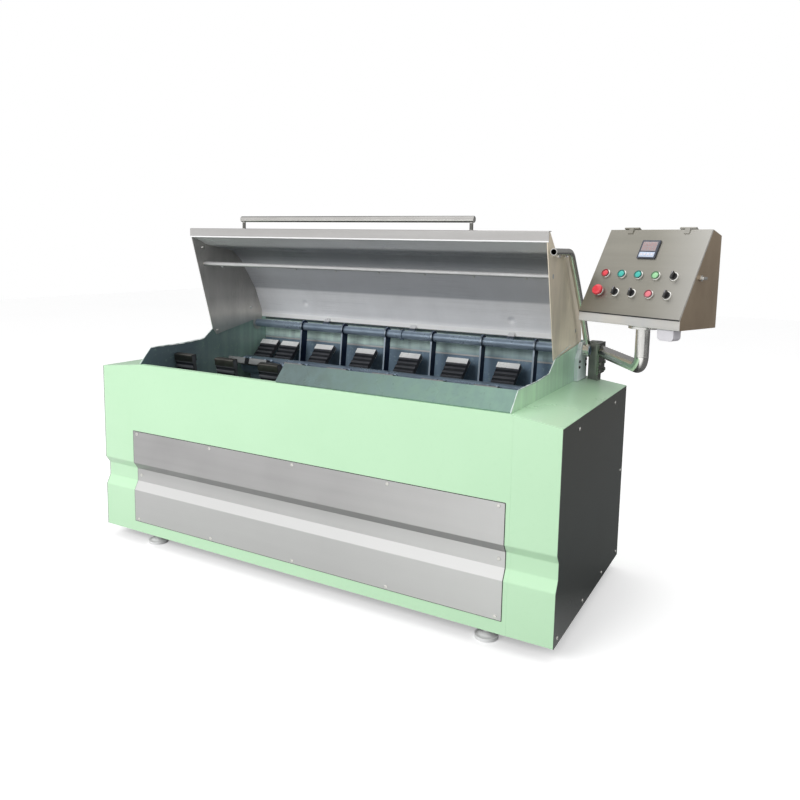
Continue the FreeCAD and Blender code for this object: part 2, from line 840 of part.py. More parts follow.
def gearmotor():
    """Foot-mounted gearbox and finned motor under the chute."""
    y, z = motor_y, up(motor_z)
    x1 = gearbox_x + gearbox_length
    foot_top = up(tube_size) + mount_plate_thickness
    half = gearbox_width / 2
    gearbox = box(gearbox_x, x1, y - half, y + half, foot_top, foot_top + gearbox_height)
    upright = [e for e in gearbox.Edges if abs(e.BoundBox.XLength - gearbox_length) < 0.01]
    gearbox = gearbox.makeFillet(22.0, upright)
    body = rod((x1, y, z), (x1 + motor_length, y, z), motor_radius - 10.0)
    fins = []
    for i in range(motor_fin_count):
        fin = box(x1 + 18.0, x1 + motor_length - 12.0, y - 2.0, y + 2.0,
                  z + motor_radius - 14.0, z + motor_radius)
        fins.append(turned(fin, (0, y, z), (1, 0, 0), 360.0 * i / motor_fin_count))
    flange = rod((x1, y, z), (x1 + 16.0, y, z), motor_radius + 8.0)
    cowl = rod((x1 + motor_length, y, z), (x1 + motor_length + 58.0, y, z), motor_radius + 3.0)
    side = y + motor_radius
    terminal = box(x1 + 60.0, x1 + 170.0, side - 16.0, side + 44.0, z - 50.0, z + 50.0)
    whole = fused([gearbox, flange, body, cowl, terminal] + fins)
    bore = rod((gearbox_x - 1, y, z), (gearbox_x + 60.0, y, z), motor_shaft_radius + shaft_clearance)
    mount = box(gearbox_x, gearbox_x + 440.0, y - 130.0, y + 130.0, up(tube_size), foot_top)
    return group([whole.cut(bore), mount])


def motor_sprocket():
    """Gearbox output shaft with its sprocket."""
    y, z = motor_y, up(motor_z)
    wheel = sprocket(drive_chain_x, y, z, motor_teeth, 26.0, motor_shaft_radius)
    shaft = rod((drive_chain_x - 8.0, y, z), (gearbox_x + 56.0, y, z), motor_shaft_radius)
    return fused([wheel, shaft])


# Hood

hood_left = left_inner + hood_side_gap
hood_right = right_inner - hood_side_gap


def from_hinge(y, z):
    """Point (y, z) given by its offset from the hood's hinge axis."""
    return hinge_y + y, hinge_z + z


shell_line = [
    from_hinge(4.0 - hood_reach, hood_rise + 4.0),
    from_hinge(-352.0, 394.0),
    from_hinge(-189.0, 372.0),
    from_hinge(-124.0, 323.0),
    from_hinge(-19.0, 181.0),
    from_hinge(32.0, 66.0),
    from_hinge(34.5, 49.0),
]


def hood_shell():
    """Bent stainless roof and back of the hood."""
    line = [(y, up(z)) for y, z in shell_line]
    return folded_sheet(line, hood_sheet, 8.0, hood_left + hood_plate, hood_right - hood_plate)


def hood_end(x0):
    """Hood end plate with an eye on the hood's shaft."""
    edge = [V(y, up(z), 0) for y, z in shell_line]
    back = [(p.x + hood_sheet, p.y + hood_sheet) for p in edge[1:]]
    outline = [
        (hinge_y - 300.0, up(hinge_z) - 32.0),
        (hinge_y - 34.0, up(hinge_z) + 17.0),
        (hinge_y - 30.0, up(hinge_z)),
        (hinge_y + 24.0, up(hinge_z) - 4.0),
    ]
    outline += back[::-1]
    outline += [
        (hood_front_y + hood_rail_return, up(hood_front_z) + hood_rail_height - hood_sheet),
        (hood_front_y + 2 * hood_sheet, up(hood_front_z) + hood_rail_height - hood_sheet),
        (hood_front_y + hood_sheet, up(hood_front_z) + hood_rail_height - 2 * hood_sheet),
        (hood_front_y + hood_sheet, up(hood_front_z)),
        (hinge_y - 326.0, up(hinge_z) - 1.0),
    ]
    sheet = plate(outline, x0, x0 + hood_plate)
    axis = ((x0, hinge_y, up(hinge_z)), (x0 + hood_plate, hinge_y, up(hinge_z)))
    sheet = sheet.fuse(rod(*axis, hood_shaft_radius + 15.0)).removeSplitter()
    bores = ((hinge_y, up(hinge_z), hood_shaft_radius), (spray_y, up(spray_z), spray_radius))
    past = x0 + hood_plate + 1
    holes = [rod((x0 - 1, y, z), (past, y, z), radius) for y, z, radius in bores]
    return sheet.cut(Part.makeCompound(holes))


def hood_front_rail():
    """Folded rail along the hood's front edge."""
    half = hood_sheet / 2
    y, z = hood_front_y, up(hood_front_z)
    path = [
        (y + hood_rail_return, z + hood_rail_height - half),
        (y + half, z + hood_rail_height - half),
        (y + half, z),
    ]
    return folded_sheet(path, hood_sheet, 3.0, left_outer, right_outer)


def hood_handle():
    """Long grab bar on two posts above the front rail."""
    y, z = hood_front_y + 12.0, up(hood_front_z) + hood_rail_height
    bar_z = z + handle_lift
    bar = rod((handle_start, y, bar_z), (handle_start + handle_length, y, bar_z), handle_radius)
    bar = bar.makeFillet(3.0, [e for e in bar.Edges if e.BoundBox.XLength < 0.01])
    posts = []
    for x in (handle_start + handle_radius, handle_start + handle_length - handle_radius):
        post = rod((x, y, z), (x, y, bar_z), handle_post_radius)
        posts.append(post.cut(bar))
    return group([bar] + posts)


def hood_shaft():
    """Hinge shaft along the back of the hood, with a collar and three straps to the shell."""
    y, z = hinge_y, up(hinge_z)
    ends = (left_outer - 40.0, arm_tube_foot_x + 14.0)
    shaft = pipe((ends[0], y, z), (ends[1], y, z), hood_shaft_radius, hood_shaft_radius - 4.0)
    place = trough_middle + collar_offset
    collar = pipe((place - collar_width / 2, y, z), (place + collar_width / 2, y, z),
                  hood_shaft_radius + 6.0, hood_shaft_radius)
    low = V(shell_line[-1][0], up(shell_line[-1][1]), 0)
    rise = (V(shell_line[-2][0], up(shell_line[-2][1]), 0) - low).normalize()
    low = low + V(rise.y, -rise.x, 0) * (hood_sheet / 2)
    high = low + rise * strap_lap
    straps = []
    for x in [place + rib_pitch / 2 for place in rib_places[:-1:2]]:
        outline = [
            (y + 2.0, z + 16.0),
            (y + 16.0, z - 2.0),
            (low.x + strap_sheet, low.y - strap_sheet),
            (high.x + strap_sheet, high.y),
            (high.x, high.y),
            (low.x, low.y),
        ]
        strap = plate(outline, x - 15.0, x + 15.0)
        straps.append(strap.cut(rod((x - 20.0, y, z), (x + 20.0, y, z), hood_shaft_radius)))
    return group([shaft, collar] + straps)


def spray_pipe():
    """Water pipe across the hood's mouth with a row of nozzles."""
    y, z = spray_y, up(spray_z)
    bar = rod((hood_left, y, z), (hood_right, y, z), spray_radius)
    span = hood_right - hood_left
    nozzles = []
    for i in range(nozzle_count):
        x = hood_left + span * (i + 0.5) / nozzle_count
        nozzles.append(rod((x, y, z), (x, y + 9.0, z - 14.0), 5.0))
    return fused([bar] + nozzles)


def bent_tube(points, radius, bore, bend):
    """Tube whose middle line is straight runs and tangent arcs through 3-D points."""
    spots = [V(*p) for p in points]
    edges = []
    last = spots[0]
    for i in range(1, len(spots) - 1):
        before = (spots[i] - spots[i - 1]).normalize()
        after = (spots[i + 1] - spots[i]).normalize()
        turn = before.getAngle(after)
        reach = bend * math.tan(turn / 2)
        enter, leave = spots[i] - before * reach, spots[i] + after * reach
        inward = (after - before).normalize()
        centre = spots[i] + inward * (bend / math.cos(turn / 2))
        edges.append(Part.LineSegment(last, enter).toShape())
        edges.append(Part.Arc(enter, centre - inward * bend, leave).toShape())
        last = leave
    edges.append(Part.LineSegment(last, spots[-1]).toShape())
    line = Part.Wire(edges)
    start = (spots[1] - spots[0]).normalize()
    solids = []
    for size in (radius, bore):
        ring = Part.Wire([Part.makeCircle(size, spots[0], start)])
        sweep = line.makePipeShell([ring], True, False)
        solids.append(sweep)
    return solids[0].cut(solids[1])


def arm_tube_line():
    """Middle line of the bent arm tube, which leans out from the hood's plate to the shaft's end."""
    offsets = [(-441.0, 395.0), (-233.0, 395.0), (-148.0, 273.0), (-49.0, 118.5), (4.0, hood_shaft_radius)]
    top, foot = offsets[1][1], offsets[-1][1]
    points = []
    for y, z in offsets:
        lean_out = (top - z) / (top - foot)
        x = arm_tube_top_x + (arm_tube_foot_x - arm_tube_top_x) * lean_out
        points.append((x, hinge_y + y, up(hinge_z) + z))
    return points


def hood_arm_tube():
    """Bent tube outside the hood's right end, from an open socket in front down to the hinge shaft."""
    line = arm_tube_line()
    tube = bent_tube(line, arm_tube_radius, arm_tube_bore, arm_tube_bend)
    y, z = hinge_y, up(hinge_z)
    eye_radius, eye_half = hood_shaft_radius + 6.0, 12.0
    x0, x1 = arm_tube_foot_x - eye_half, arm_tube_foot_x + eye_half
    tube = tube.cut(rod((x0 - arm_tube_radius, y, z), (x1 + arm_tube_radius, y, z), eye_radius))
    eye = pipe((x0, y, z), (x1, y, z), eye_radius, hood_shaft_radius)
    clips = []
    top_x, top_z = line[0][0], line[0][2]
    for y_clip in (hinge_y - 369.0, hinge_y - 284.0):
        clip = box(hood_right, top_x, y_clip - 11.0, y_clip + 11.0, top_z - 20.0, top_z + 8.0)
        clips.append(clip.cut(rod(line[0], line[1], arm_tube_radius)))
    return group([tube, eye] + clips)


def hood_bolts():
    """Cap bolts that hold the end plates."""
    low, side, high = from_hinge(-295.0, -13.0), from_hinge(-54.0, 83.0), from_hinge(-384.0, 382.0)
    found = []
    for y, z in (low, side, high):
        for x, way in ((hood_left + hood_plate, 1), (hood_right - hood_plate, -1)):
            found.append(rod((x, y, up(z)), (x + way * 5.0, y, up(z)), 8.0))
        if z < high[1]:
            found.append(rod((hood_right, y, up(z)), (hood_right + 1.4, y, up(z)), 8.0))
    return group(found)


def hood_bearings():
    """Plain bearing blocks for the hood's shaft, standing outside the end walls."""
    found = []
    half = hood_bearing_width / 2
    y, z = hinge_y, up(hinge_z)
    thick = hood_bearing_thickness
    for x0, x1 in ((left_outer - thick, left_outer), (right_outer, right_outer + thick)):
        foot = up(lip_rise)
        block = plate([
            (y - half, foot),
            (y + half - 4.0, foot),
            (y + half - 4.0, z - 30.0),
            (y + 30.0, z + 4.0),
            (y - 30.0, z + 4.0),
            (y - half, z - 30.0),
        ], x0, x1)
        block = block.fuse(rod((x0, y, z), (x1, y, z), hood_shaft_radius + 13.0)).removeSplitter()
        found.append(block.cut(rod((x0 - 1, y, z), (x1 + 1, y, z), hood_shaft_radius + shaft_clearance)))
    return group(found)


# Console arm

def arm_direction():
    """Unit vector along the level part of the console's pipe."""
    run = V(swivel[0] - pipe_start[0], swivel[1] - pipe_start[1], 0)
    return run.normalize()


def arm_plate(x0):
    """Upright plate across the X axis, from which the pipe leaves at a slant."""
    middle, z = pipe_start[1], up(pipe_z)
    half = arm_plate_width / 2
    return box(x0, x0 + arm_plate_thickness, middle - half, middle + half,
               z - arm_plate_below, z + arm_plate_above)


def arm_bracket():
    """Post on the right deck behind the hood's bearing, with the fixed plate and its bolts."""
    x1 = pipe_start[0] - arm_plate_thickness
    x0 = x1 - arm_post_width
    y0, y1 = hinge_y + 52.0, frame_back - 2.0
    top = up(pipe_z) + arm_plate_above
    outline = [
        (x0, up(deck_height(x0))),
        (x1, up(deck_height(x1))),
        (x1, top),
        (x0, top),
    ]
    post = front_plate(outline, y0, y1)
    bolts = []
    x, bolt_radius, bolt_height = pipe_start[0] + arm_plate_thickness, 7.0, 6.0
    for y in (pipe_start[1] - arm_plate_width / 2 + 12.0, pipe_start[1] + arm_plate_width / 2 - 12.0):
        for z in (up(pipe_z) - arm_plate_below + 14.0, up(pipe_z) - arm_plate_below + 44.0):
            bolts.append(rod((x, y, z), (x + bolt_height, y, z), bolt_radius))
    return group([fused([post, arm_plate(x1)])] + bolts)


def arm_pipe():
    """Bent pipe that carries the console, with a plate at its foot and a flange at its top."""
    way = arm_direction()
    start = V(pipe_start[0], pipe_start[1], up(pipe_z)) - way * pipe_radius
    top = up(console_bottom) - 2 * swivel_flange_thickness - fit_gap
    points = [tuple(start), (swivel[0], swivel[1], up(pipe_z)), (swivel[0], swivel[1], top)]
    tube = bent_tube(points, pipe_radius, pipe_bore, pipe_bend_radius)
    behind = box(pipe_start[0] - 4 * pipe_radius, pipe_start[0], pipe_start[1] - 4 * pipe_radius,
                 pipe_start[1] + 4 * pipe_radius, up(pipe_z) - 2 * pipe_radius, up(pipe_z) + 2 * pipe_radius)
    flange = Part.makeCylinder(swivel_flange_radius, swivel_flange_thickness, V(swivel[0], swivel[1], top))
    flange = flange.cut(Part.makeCylinder(pipe_bore, 30.0, V(swivel[0], swivel[1], top - 10.0)))
    return fused([tube.cut(behind), flange, arm_plate(pipe_start[0])])


# Console, drawn square to the axes about its swivel and then turned

lean = math.radians(face_lean)
face_low = (console_front, up(console_bottom) + console_lip)
face_up = (math.sin(lean), math.cos(lean))
face_out = (-math.cos(lean), math.sin(lean))
face_high = (face_low[0] + face_length * face_up[0], face_low[1] + face_length * face_up[1])


def on_face(across, along, out=0.0):
    """Point on the console's face: across from its left edge, along from its lower edge, out from it."""
    return V(across - console_width / 2,
             face_low[0] + along * face_up[0] + out * face_out[0],
             face_low[1] + along * face_up[1] + out * face_out[1])


face_normal = V(0, face_out[0], face_out[1])


def stand_on_face(shape, across, along, out=0.0):
    """Moves a piece drawn upright about Z, with its foot at the origin, onto the face."""
    copy = shape.copy()
    copy.rotate(V(0, 0, 0), V(1, 0, 0), 90.0 - face_lean)
    copy.translate(on_face(across, along, out))
    return copy


def console_turned(shape):
    """Moves a console piece from its own square frame to its place on the arm."""
    copy = shape.copy()
    copy.rotate(V(0, 0, 0), V(0, 0, 1), console_turn)
    copy.translate(V(swivel[0], swivel[1], 0))
    return copy


def console_section():
    """Face (y, z) of the console's side view."""
    corners = [
        (console_front, up(console_bottom)),
        (console_back, up(console_bottom)),
        (console_back, face_high[1] - console_top_drop),
        face_high,
        face_low,
    ]
    flat = [V(y, z, 0) for y, z in corners]
    return Part.Face(Part.makePolygon(flat + flat[:1]))


def console_body():
    """Sheet-metal console box with its sloping mouth and a turned-in rim."""
    half = console_width / 2
    outside = stand_up(console_section(), -half, half)
    inner_half = half - console_sheet
    inside = stand_up(console_section().makeOffset2D(-console_sheet), -inner_half, inner_half)
    rim = 18.0
    depth = 40.0
    mouth = Part.makeBox(console_width - 2 * rim, face_length - 2 * rim, depth,
                         V(-(console_width - 2 * rim) / 2, -(face_length - 2 * rim) / 2, -depth / 2))
    mouth = stand_on_face(mouth, console_width / 2, face_length / 2)
    return outside.cut(inside).cut(mouth)


lid_hinge = on_face(0.0, face_length + hinge_rise, lid_gap + lid_sheet)


def knuckle(x0, x1, tab, bore):
    """Hinge knuckle along X on the lid's axis, with a tab of outline (y, z)."""
    y, z = lid_hinge.y, lid_hinge.z
    barrel = rod((x0, y, z), (x1, y, z), knuckle_radius).fuse(plate(tab, x0, x1))
    return barrel.cut(rod((x0 - 1, y, z), (x1 + 1, y, z), bore)).removeSplitter()


def console_hinges():
    """Outer knuckles and pins of the lid's two hinges, standing on the console's top."""
    y, z = lid_hinge.y, lid_hinge.z
    slope = V(0, console_back - face_high[0], -console_top_drop).normalize()
    normal = V(0, -slope.z, slope.y)
    corner = V(0, *face_high)
    foot = corner + slope * 24.0
    lifted = foot + normal * 2.5
    tab = [(corner.y, corner.z), (foot.y, foot.z), (lifted.y, lifted.z), (y + 3.0, z + 2.0)]
    found = []
    for middle in hinge_middles:
        for side in (-1, 1):
            ends = sorted((middle + side * knuckle_half, middle + side * 3 * knuckle_half))
            found.append(knuckle(ends[0], ends[1], tab, hinge_pin_radius))
        reach = 3 * knuckle_half + 2.0
        found.append(rod((middle - reach, y, z), (middle + reach, y, z), hinge_pin_radius))
    return group(found)


def operator_places():
    """Places (across, along) of the ten operators, upper row first."""
    return [(first_operator + operator_pitch * i, row) for row in (upper_row, lower_row) for i in range(5)]


def console_lid():
    """Flat lid over the sloping mouth, pierced for its operators and display."""
    width, length = console_width - 2 * lid_margin, face_length - 2 * lid_margin
    sheet = Part.makeBox(width, length, lid_sheet, V(-width / 2, -length / 2, lid_gap))
    sheet = stand_on_face(sheet, console_width / 2, face_length / 2)
    holes = [stand_on_face(Part.makeCylinder(button_radius + fit_gap, 20.0, V(0, 0, -10.0)), *place)
             for place in operator_places()]
    cutout = display_size - 6.0
    window = Part.makeBox(cutout, cutout, 20.0, V(-cutout / 2, -cutout / 2, -10.0))
    holes.append(stand_on_face(window, *display_place))
    sheet = sheet.cut(Part.makeCompound(holes))
    level = lid_gap + lid_sheet
    corners = [on_face(0.0, face_length - 18.0, level), on_face(0.0, face_length - 18.0, level + 2.5),
               on_face(0.0, face_length + 2.0, level + 4.5), on_face(0.0, face_length + 2.0, level)]
    half = knuckle_half - fit_gap
    tab = [(p.y, p.z) for p in corners]
    bore = hinge_pin_radius + shaft_clearance
    knuckles = [knuckle(middle - half, middle + half, tab, bore) for middle in hinge_middles]
    return fused([sheet] + knuckles)


def face_top():
    """Height of the lid's outer surface above the console's face."""
    return lid_gap + lid_sheet


def display():
    """Square panel meter: frame and window."""
    size = display_size
    frame = Part.makeBox(size, size, display_height, V(-size / 2, -size / 2, face_top()))
    front = face_top() + display_height
    frame = frame.makeFillet(2.0, [e for e in frame.Edges if e.BoundBox.ZMin > front - 0.1])
    inner = size - 14.0
    recess = Part.makeBox(inner, inner, 2.0, V(-inner / 2, -inner / 2, front - 2.0))
    tail = Part.makeBox(size - 7.0, size - 7.0, 22.0, V(3.5 - size / 2, 3.5 - size / 2, face_top() - 22.0))
    return stand_on_face(frame.cut(recess).fuse(tail).removeSplitter(), *display_place)


def operator_rings():
    """Bright collars around the operators."""
    found = []
    for place in operator_places():
        ring = Part.makeCylinder(ring_radius, ring_height, V(0, 0, face_top()))
        top = face_top() + ring_height - 0.1
        ring = ring.makeFillet(1.2, [e for e in ring.Edges if e.BoundBox.ZMin > top])
        ring = ring.cut(Part.makeCylinder(button_radius + fit_gap, 20.0))
        found.append(stand_on_face(ring, *place))
    return group(found)


def push_button(place):
    """Round button on a guide stem through its ring."""
    rise = ring_height + button_travel + 1.5
    cap = Part.makeCylinder(button_radius, rise + 12.0, V(0, 0, face_top() - 12.0))
    rim = [e for e in cap.Edges if e.BoundBox.ZMin > face_top() + rise - 0.1]
    return stand_on_face(cap.makeFillet(1.5, rim), *place)


def stop_button(place):
    """Mushroom-headed stop button."""
    stem = Part.makeCylinder(button_radius, ring_height + 20.0, V(0, 0, face_top() - 12.0))
    low = face_top() + ring_height + 4.5
    head = Part.makeCylinder(20.0, 12.0, V(0, 0, low))
    head = head.makeFillet(5.0, [e for e in head.Edges if e.BoundBox.ZMin > low + 11.9])
    return stand_on_face(fused([stem, head]), *place)


def selector(place):
    """Round selector with a raised finger bar."""
    base_top = face_top() + ring_height + 3.0
    stem = Part.makeCylinder(button_radius, base_top - face_top() + 12.0, V(0, 0, face_top() - 12.0))
    bar = Part.makeBox(7.0, 26.0, 13.0, V(-3.5, -13.0, base_top))
    bar = bar.makeFillet(1.5, bar.Edges)
    foot = Part.makeBox(6.0, 21.0, 3.0, V(-3.0, -10.5, base_top - 1.0))
    return stand_on_face(fused([stem, foot, bar]), *place)


def swivel_collar():
    """Flange and spigot on which the console turns."""
    top = up(console_bottom)
    seat, spigot_length = top - swivel_flange_thickness, 55.0
    flange = Part.makeCylinder(swivel_flange_radius, swivel_flange_thickness, V(0, 0, seat))
    spigot = Part.makeCylinder(pipe_bore - shaft_clearance, spigot_length, V(0, 0, seat - spigot_length))
    return fused([flange, spigot])


def cable_entry():
    """Pale moulded cable entry under the console's right end."""
    top = up(console_bottom)
    block = Part.makeBox(60.0, 44.0, 38.0, V(115.0, console_front + 8.0, top - 38.0))
    low = [e for e in block.Edges if e.BoundBox.ZMax < top - 37.9 and e.BoundBox.YLength > 40.0]
    return block.makeFillet(14.0, low)


def lid_catch():
    """Quarter-turn catch on the console's right side."""
    x = console_width / 2
    spot = on_face(0.0, face_length * 0.5, -24.0)
    y, z = spot.y, spot.z
    base = rod((x + fit_gap, y, z), (x + 6.0, y, z), 10.0)
    barrel = rod((x + 6.0, y, z), (x + 16.0, y, z), 6.0)
    wing = Part.makeBox(5.0, 26.0, 9.0, V(x + 13.0, y - 13.0, z - 4.5))
    whole = fused([base, barrel, wing.makeFillet(1.5, wing.Edges)])
    bore_end = x + catch_pin_length + fit_gap
    return whole.cut(rod((x - 1, y, z), (bore_end, y, z), catch_pin_radius + shaft_clearance))


def catch_pin():
    """Fixed pin on which the catch turns."""
    x = console_width / 2
    spot = on_face(0.0, face_length * 0.5, -24.0)
    return rod((x, spot.y, spot.z), (x + catch_pin_length, spot.y, spot.z), catch_pin_radius)


# The whole machine

def build():
    """Every sub-part by name, in the drawing frame."""
    front_z, rear_z = up(front_drum_z), up(rear_drum_z)
    drive_end = link_chain_x - 20.0
    right_end = right_outer + bearing_flange + bearing_boss_length + 8.0
    motor_wheel = (motor_y, up(motor_z), motor_teeth)
    rear_wheel = (rear_drum_y, rear_z, drive_teeth)
    linked_wheels = ((front_drum_y, front_z, link_teeth), (rear_drum_y, rear_z, link_teeth))
    parts = {
        "base_frame": base_frame(),
        "levelling_feet": levelling_feet(),
        "front_surround": front_surround(),
        "left_corner_panel": corner_panel(cover_sheet, surround_left),
        "right_corner_panel": corner_panel(surround_right, body_length - cover_sheet),
        "service_panel": service_panel(),
        "cover_screws": cover_screws(),
        "left_side_panel": side_panel(0.0),
        "right_side_panel": side_panel(body_length - cover_sheet),
        "back_panel": back_panel(),
        "end_decks": group([end_deck(0.0, left_outer), end_deck(right_outer, body_length)]),
        "left_trough_wall": trough_wall(left_outer),
        "right_trough_wall": trough_wall(right_inner),
        "rear_liner": rear_liner(),
        "front_apron": front_apron(),
        "hair_chute": hair_chute(),
        "comb_ribs": comb_ribs(),
        "drum_bearings": drum_bearings(),
        "hood_bearings": hood_bearings(),
        "gearmotor": gearmotor(),
        "drive_chain": chain(drive_chain_x, (motor_wheel, rear_wheel)),
        "drum_chain": chain(link_chain_x, linked_wheels),
        "arm_bracket": arm_bracket(),
        "arm_pipe": arm_pipe(),
        "motor_sprocket": motor_sprocket(),
        "hood_shell": hood_shell(),
        "hood_left_plate": hood_end(hood_left),
        "hood_right_plate": hood_end(hood_right - hood_plate),
        "hood_front_rail": hood_front_rail(),
        "hood_handle": hood_handle(),
        "hood_shaft": hood_shaft(),
        "spray_pipe": spray_pipe(),
        "hood_arm_tube": hood_arm_tube(),
        "hood_bolts": hood_bolts(),
    }
    drums = (
        ("front", front_drum_y, front_z, front_row_angle, front_stations, (link_chain_x,), (link_teeth,)),
        ("rear", rear_drum_y, rear_z, rear_row_angle, rear_stations,
         (link_chain_x, drive_chain_x), (link_teeth, drive_teeth)),
    )
    for name, y, z, angle, stations, wheels, teeth in drums:
        tube = drum(y, z, drive_end, right_end)
        parts[name + "_drum"] = group([tube, paddle_copies(lug(), stations, y, z, angle)])
        parts[name + "_paddles"] = paddle_copies(rubber(), stations, y, z, angle)
        parts[name + "_claws"] = paddle_copies(claw(), stations, y, z, angle)
        parts[name + "_sprockets"] = group([sprocket(x, y, z, count, 34.0, stub_radius)
                                            for x, count in zip(wheels, teeth)])
    console = {
        "console_body": group([console_body(), catch_pin()]),
        "console_hinges": console_hinges(),
        "swivel_collar": swivel_collar(),
        "cable_entry": cable_entry(),
        "console_lid": console_lid(),
        "display": display(),
        "operator_rings": operator_rings(),
        "lid_catch": lid_catch(),
    }
    makers = [push_button] * 4 + [selector, stop_button, selector, selector, push_button, selector]
    names = ["red_button", "first_teal_button", "second_teal_button", "green_button", "first_selector",
             "stop_button", "second_selector", "third_selector", "pink_button", "fourth_selector"]
    for name, maker, place in zip(names, makers, operator_places()):
        console[name] = maker(place)
    for name, shape in console.items():
        parts[name] = console_turned(shape)
    return parts


def model_box(parts):
    """Tight box around the whole machine."""
    boxes = [shape.optimalBoundingBox(False) for shape in parts.values()]
    low = [min(b.XMin for b in boxes), min(b.YMin for b in boxes), min(b.ZMin for b in boxes)]
    high = [max(b.XMax for b in boxes), max(b.YMax for b in boxes), max(b.ZMax for b in boxes)]
    return low, high


parts = build()
low_corner, high_corner = model_box(parts)
origin = V((low_corner[0] + high_corner[0]) / 2, (low_corner[1] + high_corner[1]) / 2, low_corner[2])
os.makedirs("parts", exist_ok=True)
for name, shape in parts.items():
    shape.translate(-origin)
    shape.exportStep(os.path.join("parts", name + ".step"))
    state = "valid" if shape.isValid() else "not valid"
    print(name, len(shape.Solids), "solids,", state, round(shape.Volume / 1000.0, 1), "cm3")
size = [round(high - low, 1) for low, high in zip(low_corner, high_corner)]
print("nodes", len(parts), "size", size, "origin", origin)
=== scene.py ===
"""Looks of a double-roller pig dehairing machine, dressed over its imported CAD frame.

Every piece is in metres in the frame's own axes: +X along the cabinet to the console end, +Y from
the operator side to the back, +Z up from the floor.
"""

import json
import logging
import math
from dataclasses import dataclass
from enum import Enum

import bmesh
import bpy
import numpy as np
from mathutils import Matrix, Vector

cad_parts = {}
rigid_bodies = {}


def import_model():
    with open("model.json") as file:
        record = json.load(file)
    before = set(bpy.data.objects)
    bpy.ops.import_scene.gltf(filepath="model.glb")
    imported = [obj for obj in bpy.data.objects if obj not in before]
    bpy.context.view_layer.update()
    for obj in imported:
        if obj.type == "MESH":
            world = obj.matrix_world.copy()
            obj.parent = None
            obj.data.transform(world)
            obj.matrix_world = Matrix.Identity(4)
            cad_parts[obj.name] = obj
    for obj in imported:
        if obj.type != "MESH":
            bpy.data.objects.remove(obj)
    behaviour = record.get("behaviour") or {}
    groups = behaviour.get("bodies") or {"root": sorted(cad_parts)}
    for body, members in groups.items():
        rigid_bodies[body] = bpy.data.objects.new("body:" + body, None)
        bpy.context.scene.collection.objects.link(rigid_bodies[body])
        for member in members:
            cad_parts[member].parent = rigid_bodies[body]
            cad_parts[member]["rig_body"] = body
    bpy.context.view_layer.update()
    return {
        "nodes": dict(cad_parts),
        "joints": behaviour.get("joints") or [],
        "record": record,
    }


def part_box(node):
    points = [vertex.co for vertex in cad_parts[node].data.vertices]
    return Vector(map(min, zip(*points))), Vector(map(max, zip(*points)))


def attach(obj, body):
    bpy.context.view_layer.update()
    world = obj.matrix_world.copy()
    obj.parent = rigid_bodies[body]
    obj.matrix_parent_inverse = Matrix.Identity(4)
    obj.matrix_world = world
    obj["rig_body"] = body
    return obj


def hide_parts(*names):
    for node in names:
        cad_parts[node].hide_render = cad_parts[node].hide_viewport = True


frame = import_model()
log = logging.getLogger("dehairing_machine")
MM = 0.001
SWIVEL = (2222.0, 451.0)
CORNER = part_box("left_side_panel")[0]

Triple = tuple[float, float, float]
# Points in metres, and faces as rows of point indices.
Shape = tuple[np.ndarray, np.ndarray | list]
Socket = bpy.types.NodeSocket
Node = bpy.types.Node
Piece = bpy.types.Object


def drawn(x: float, y: float, z: float) -> Triple:
    """Place in metres of a point in the drawing's millimetres from the cabinet's left front corner."""
    return (CORNER.x + x * MM, CORNER.y + y * MM, z * MM)


def joint_place(name: str) -> np.ndarray:
    """A point on a joint's axis, in metres."""
    return np.array(next(joint["pos_m"] for joint in frame["joints"] if joint["name"] == name), float)


# Shader helpers

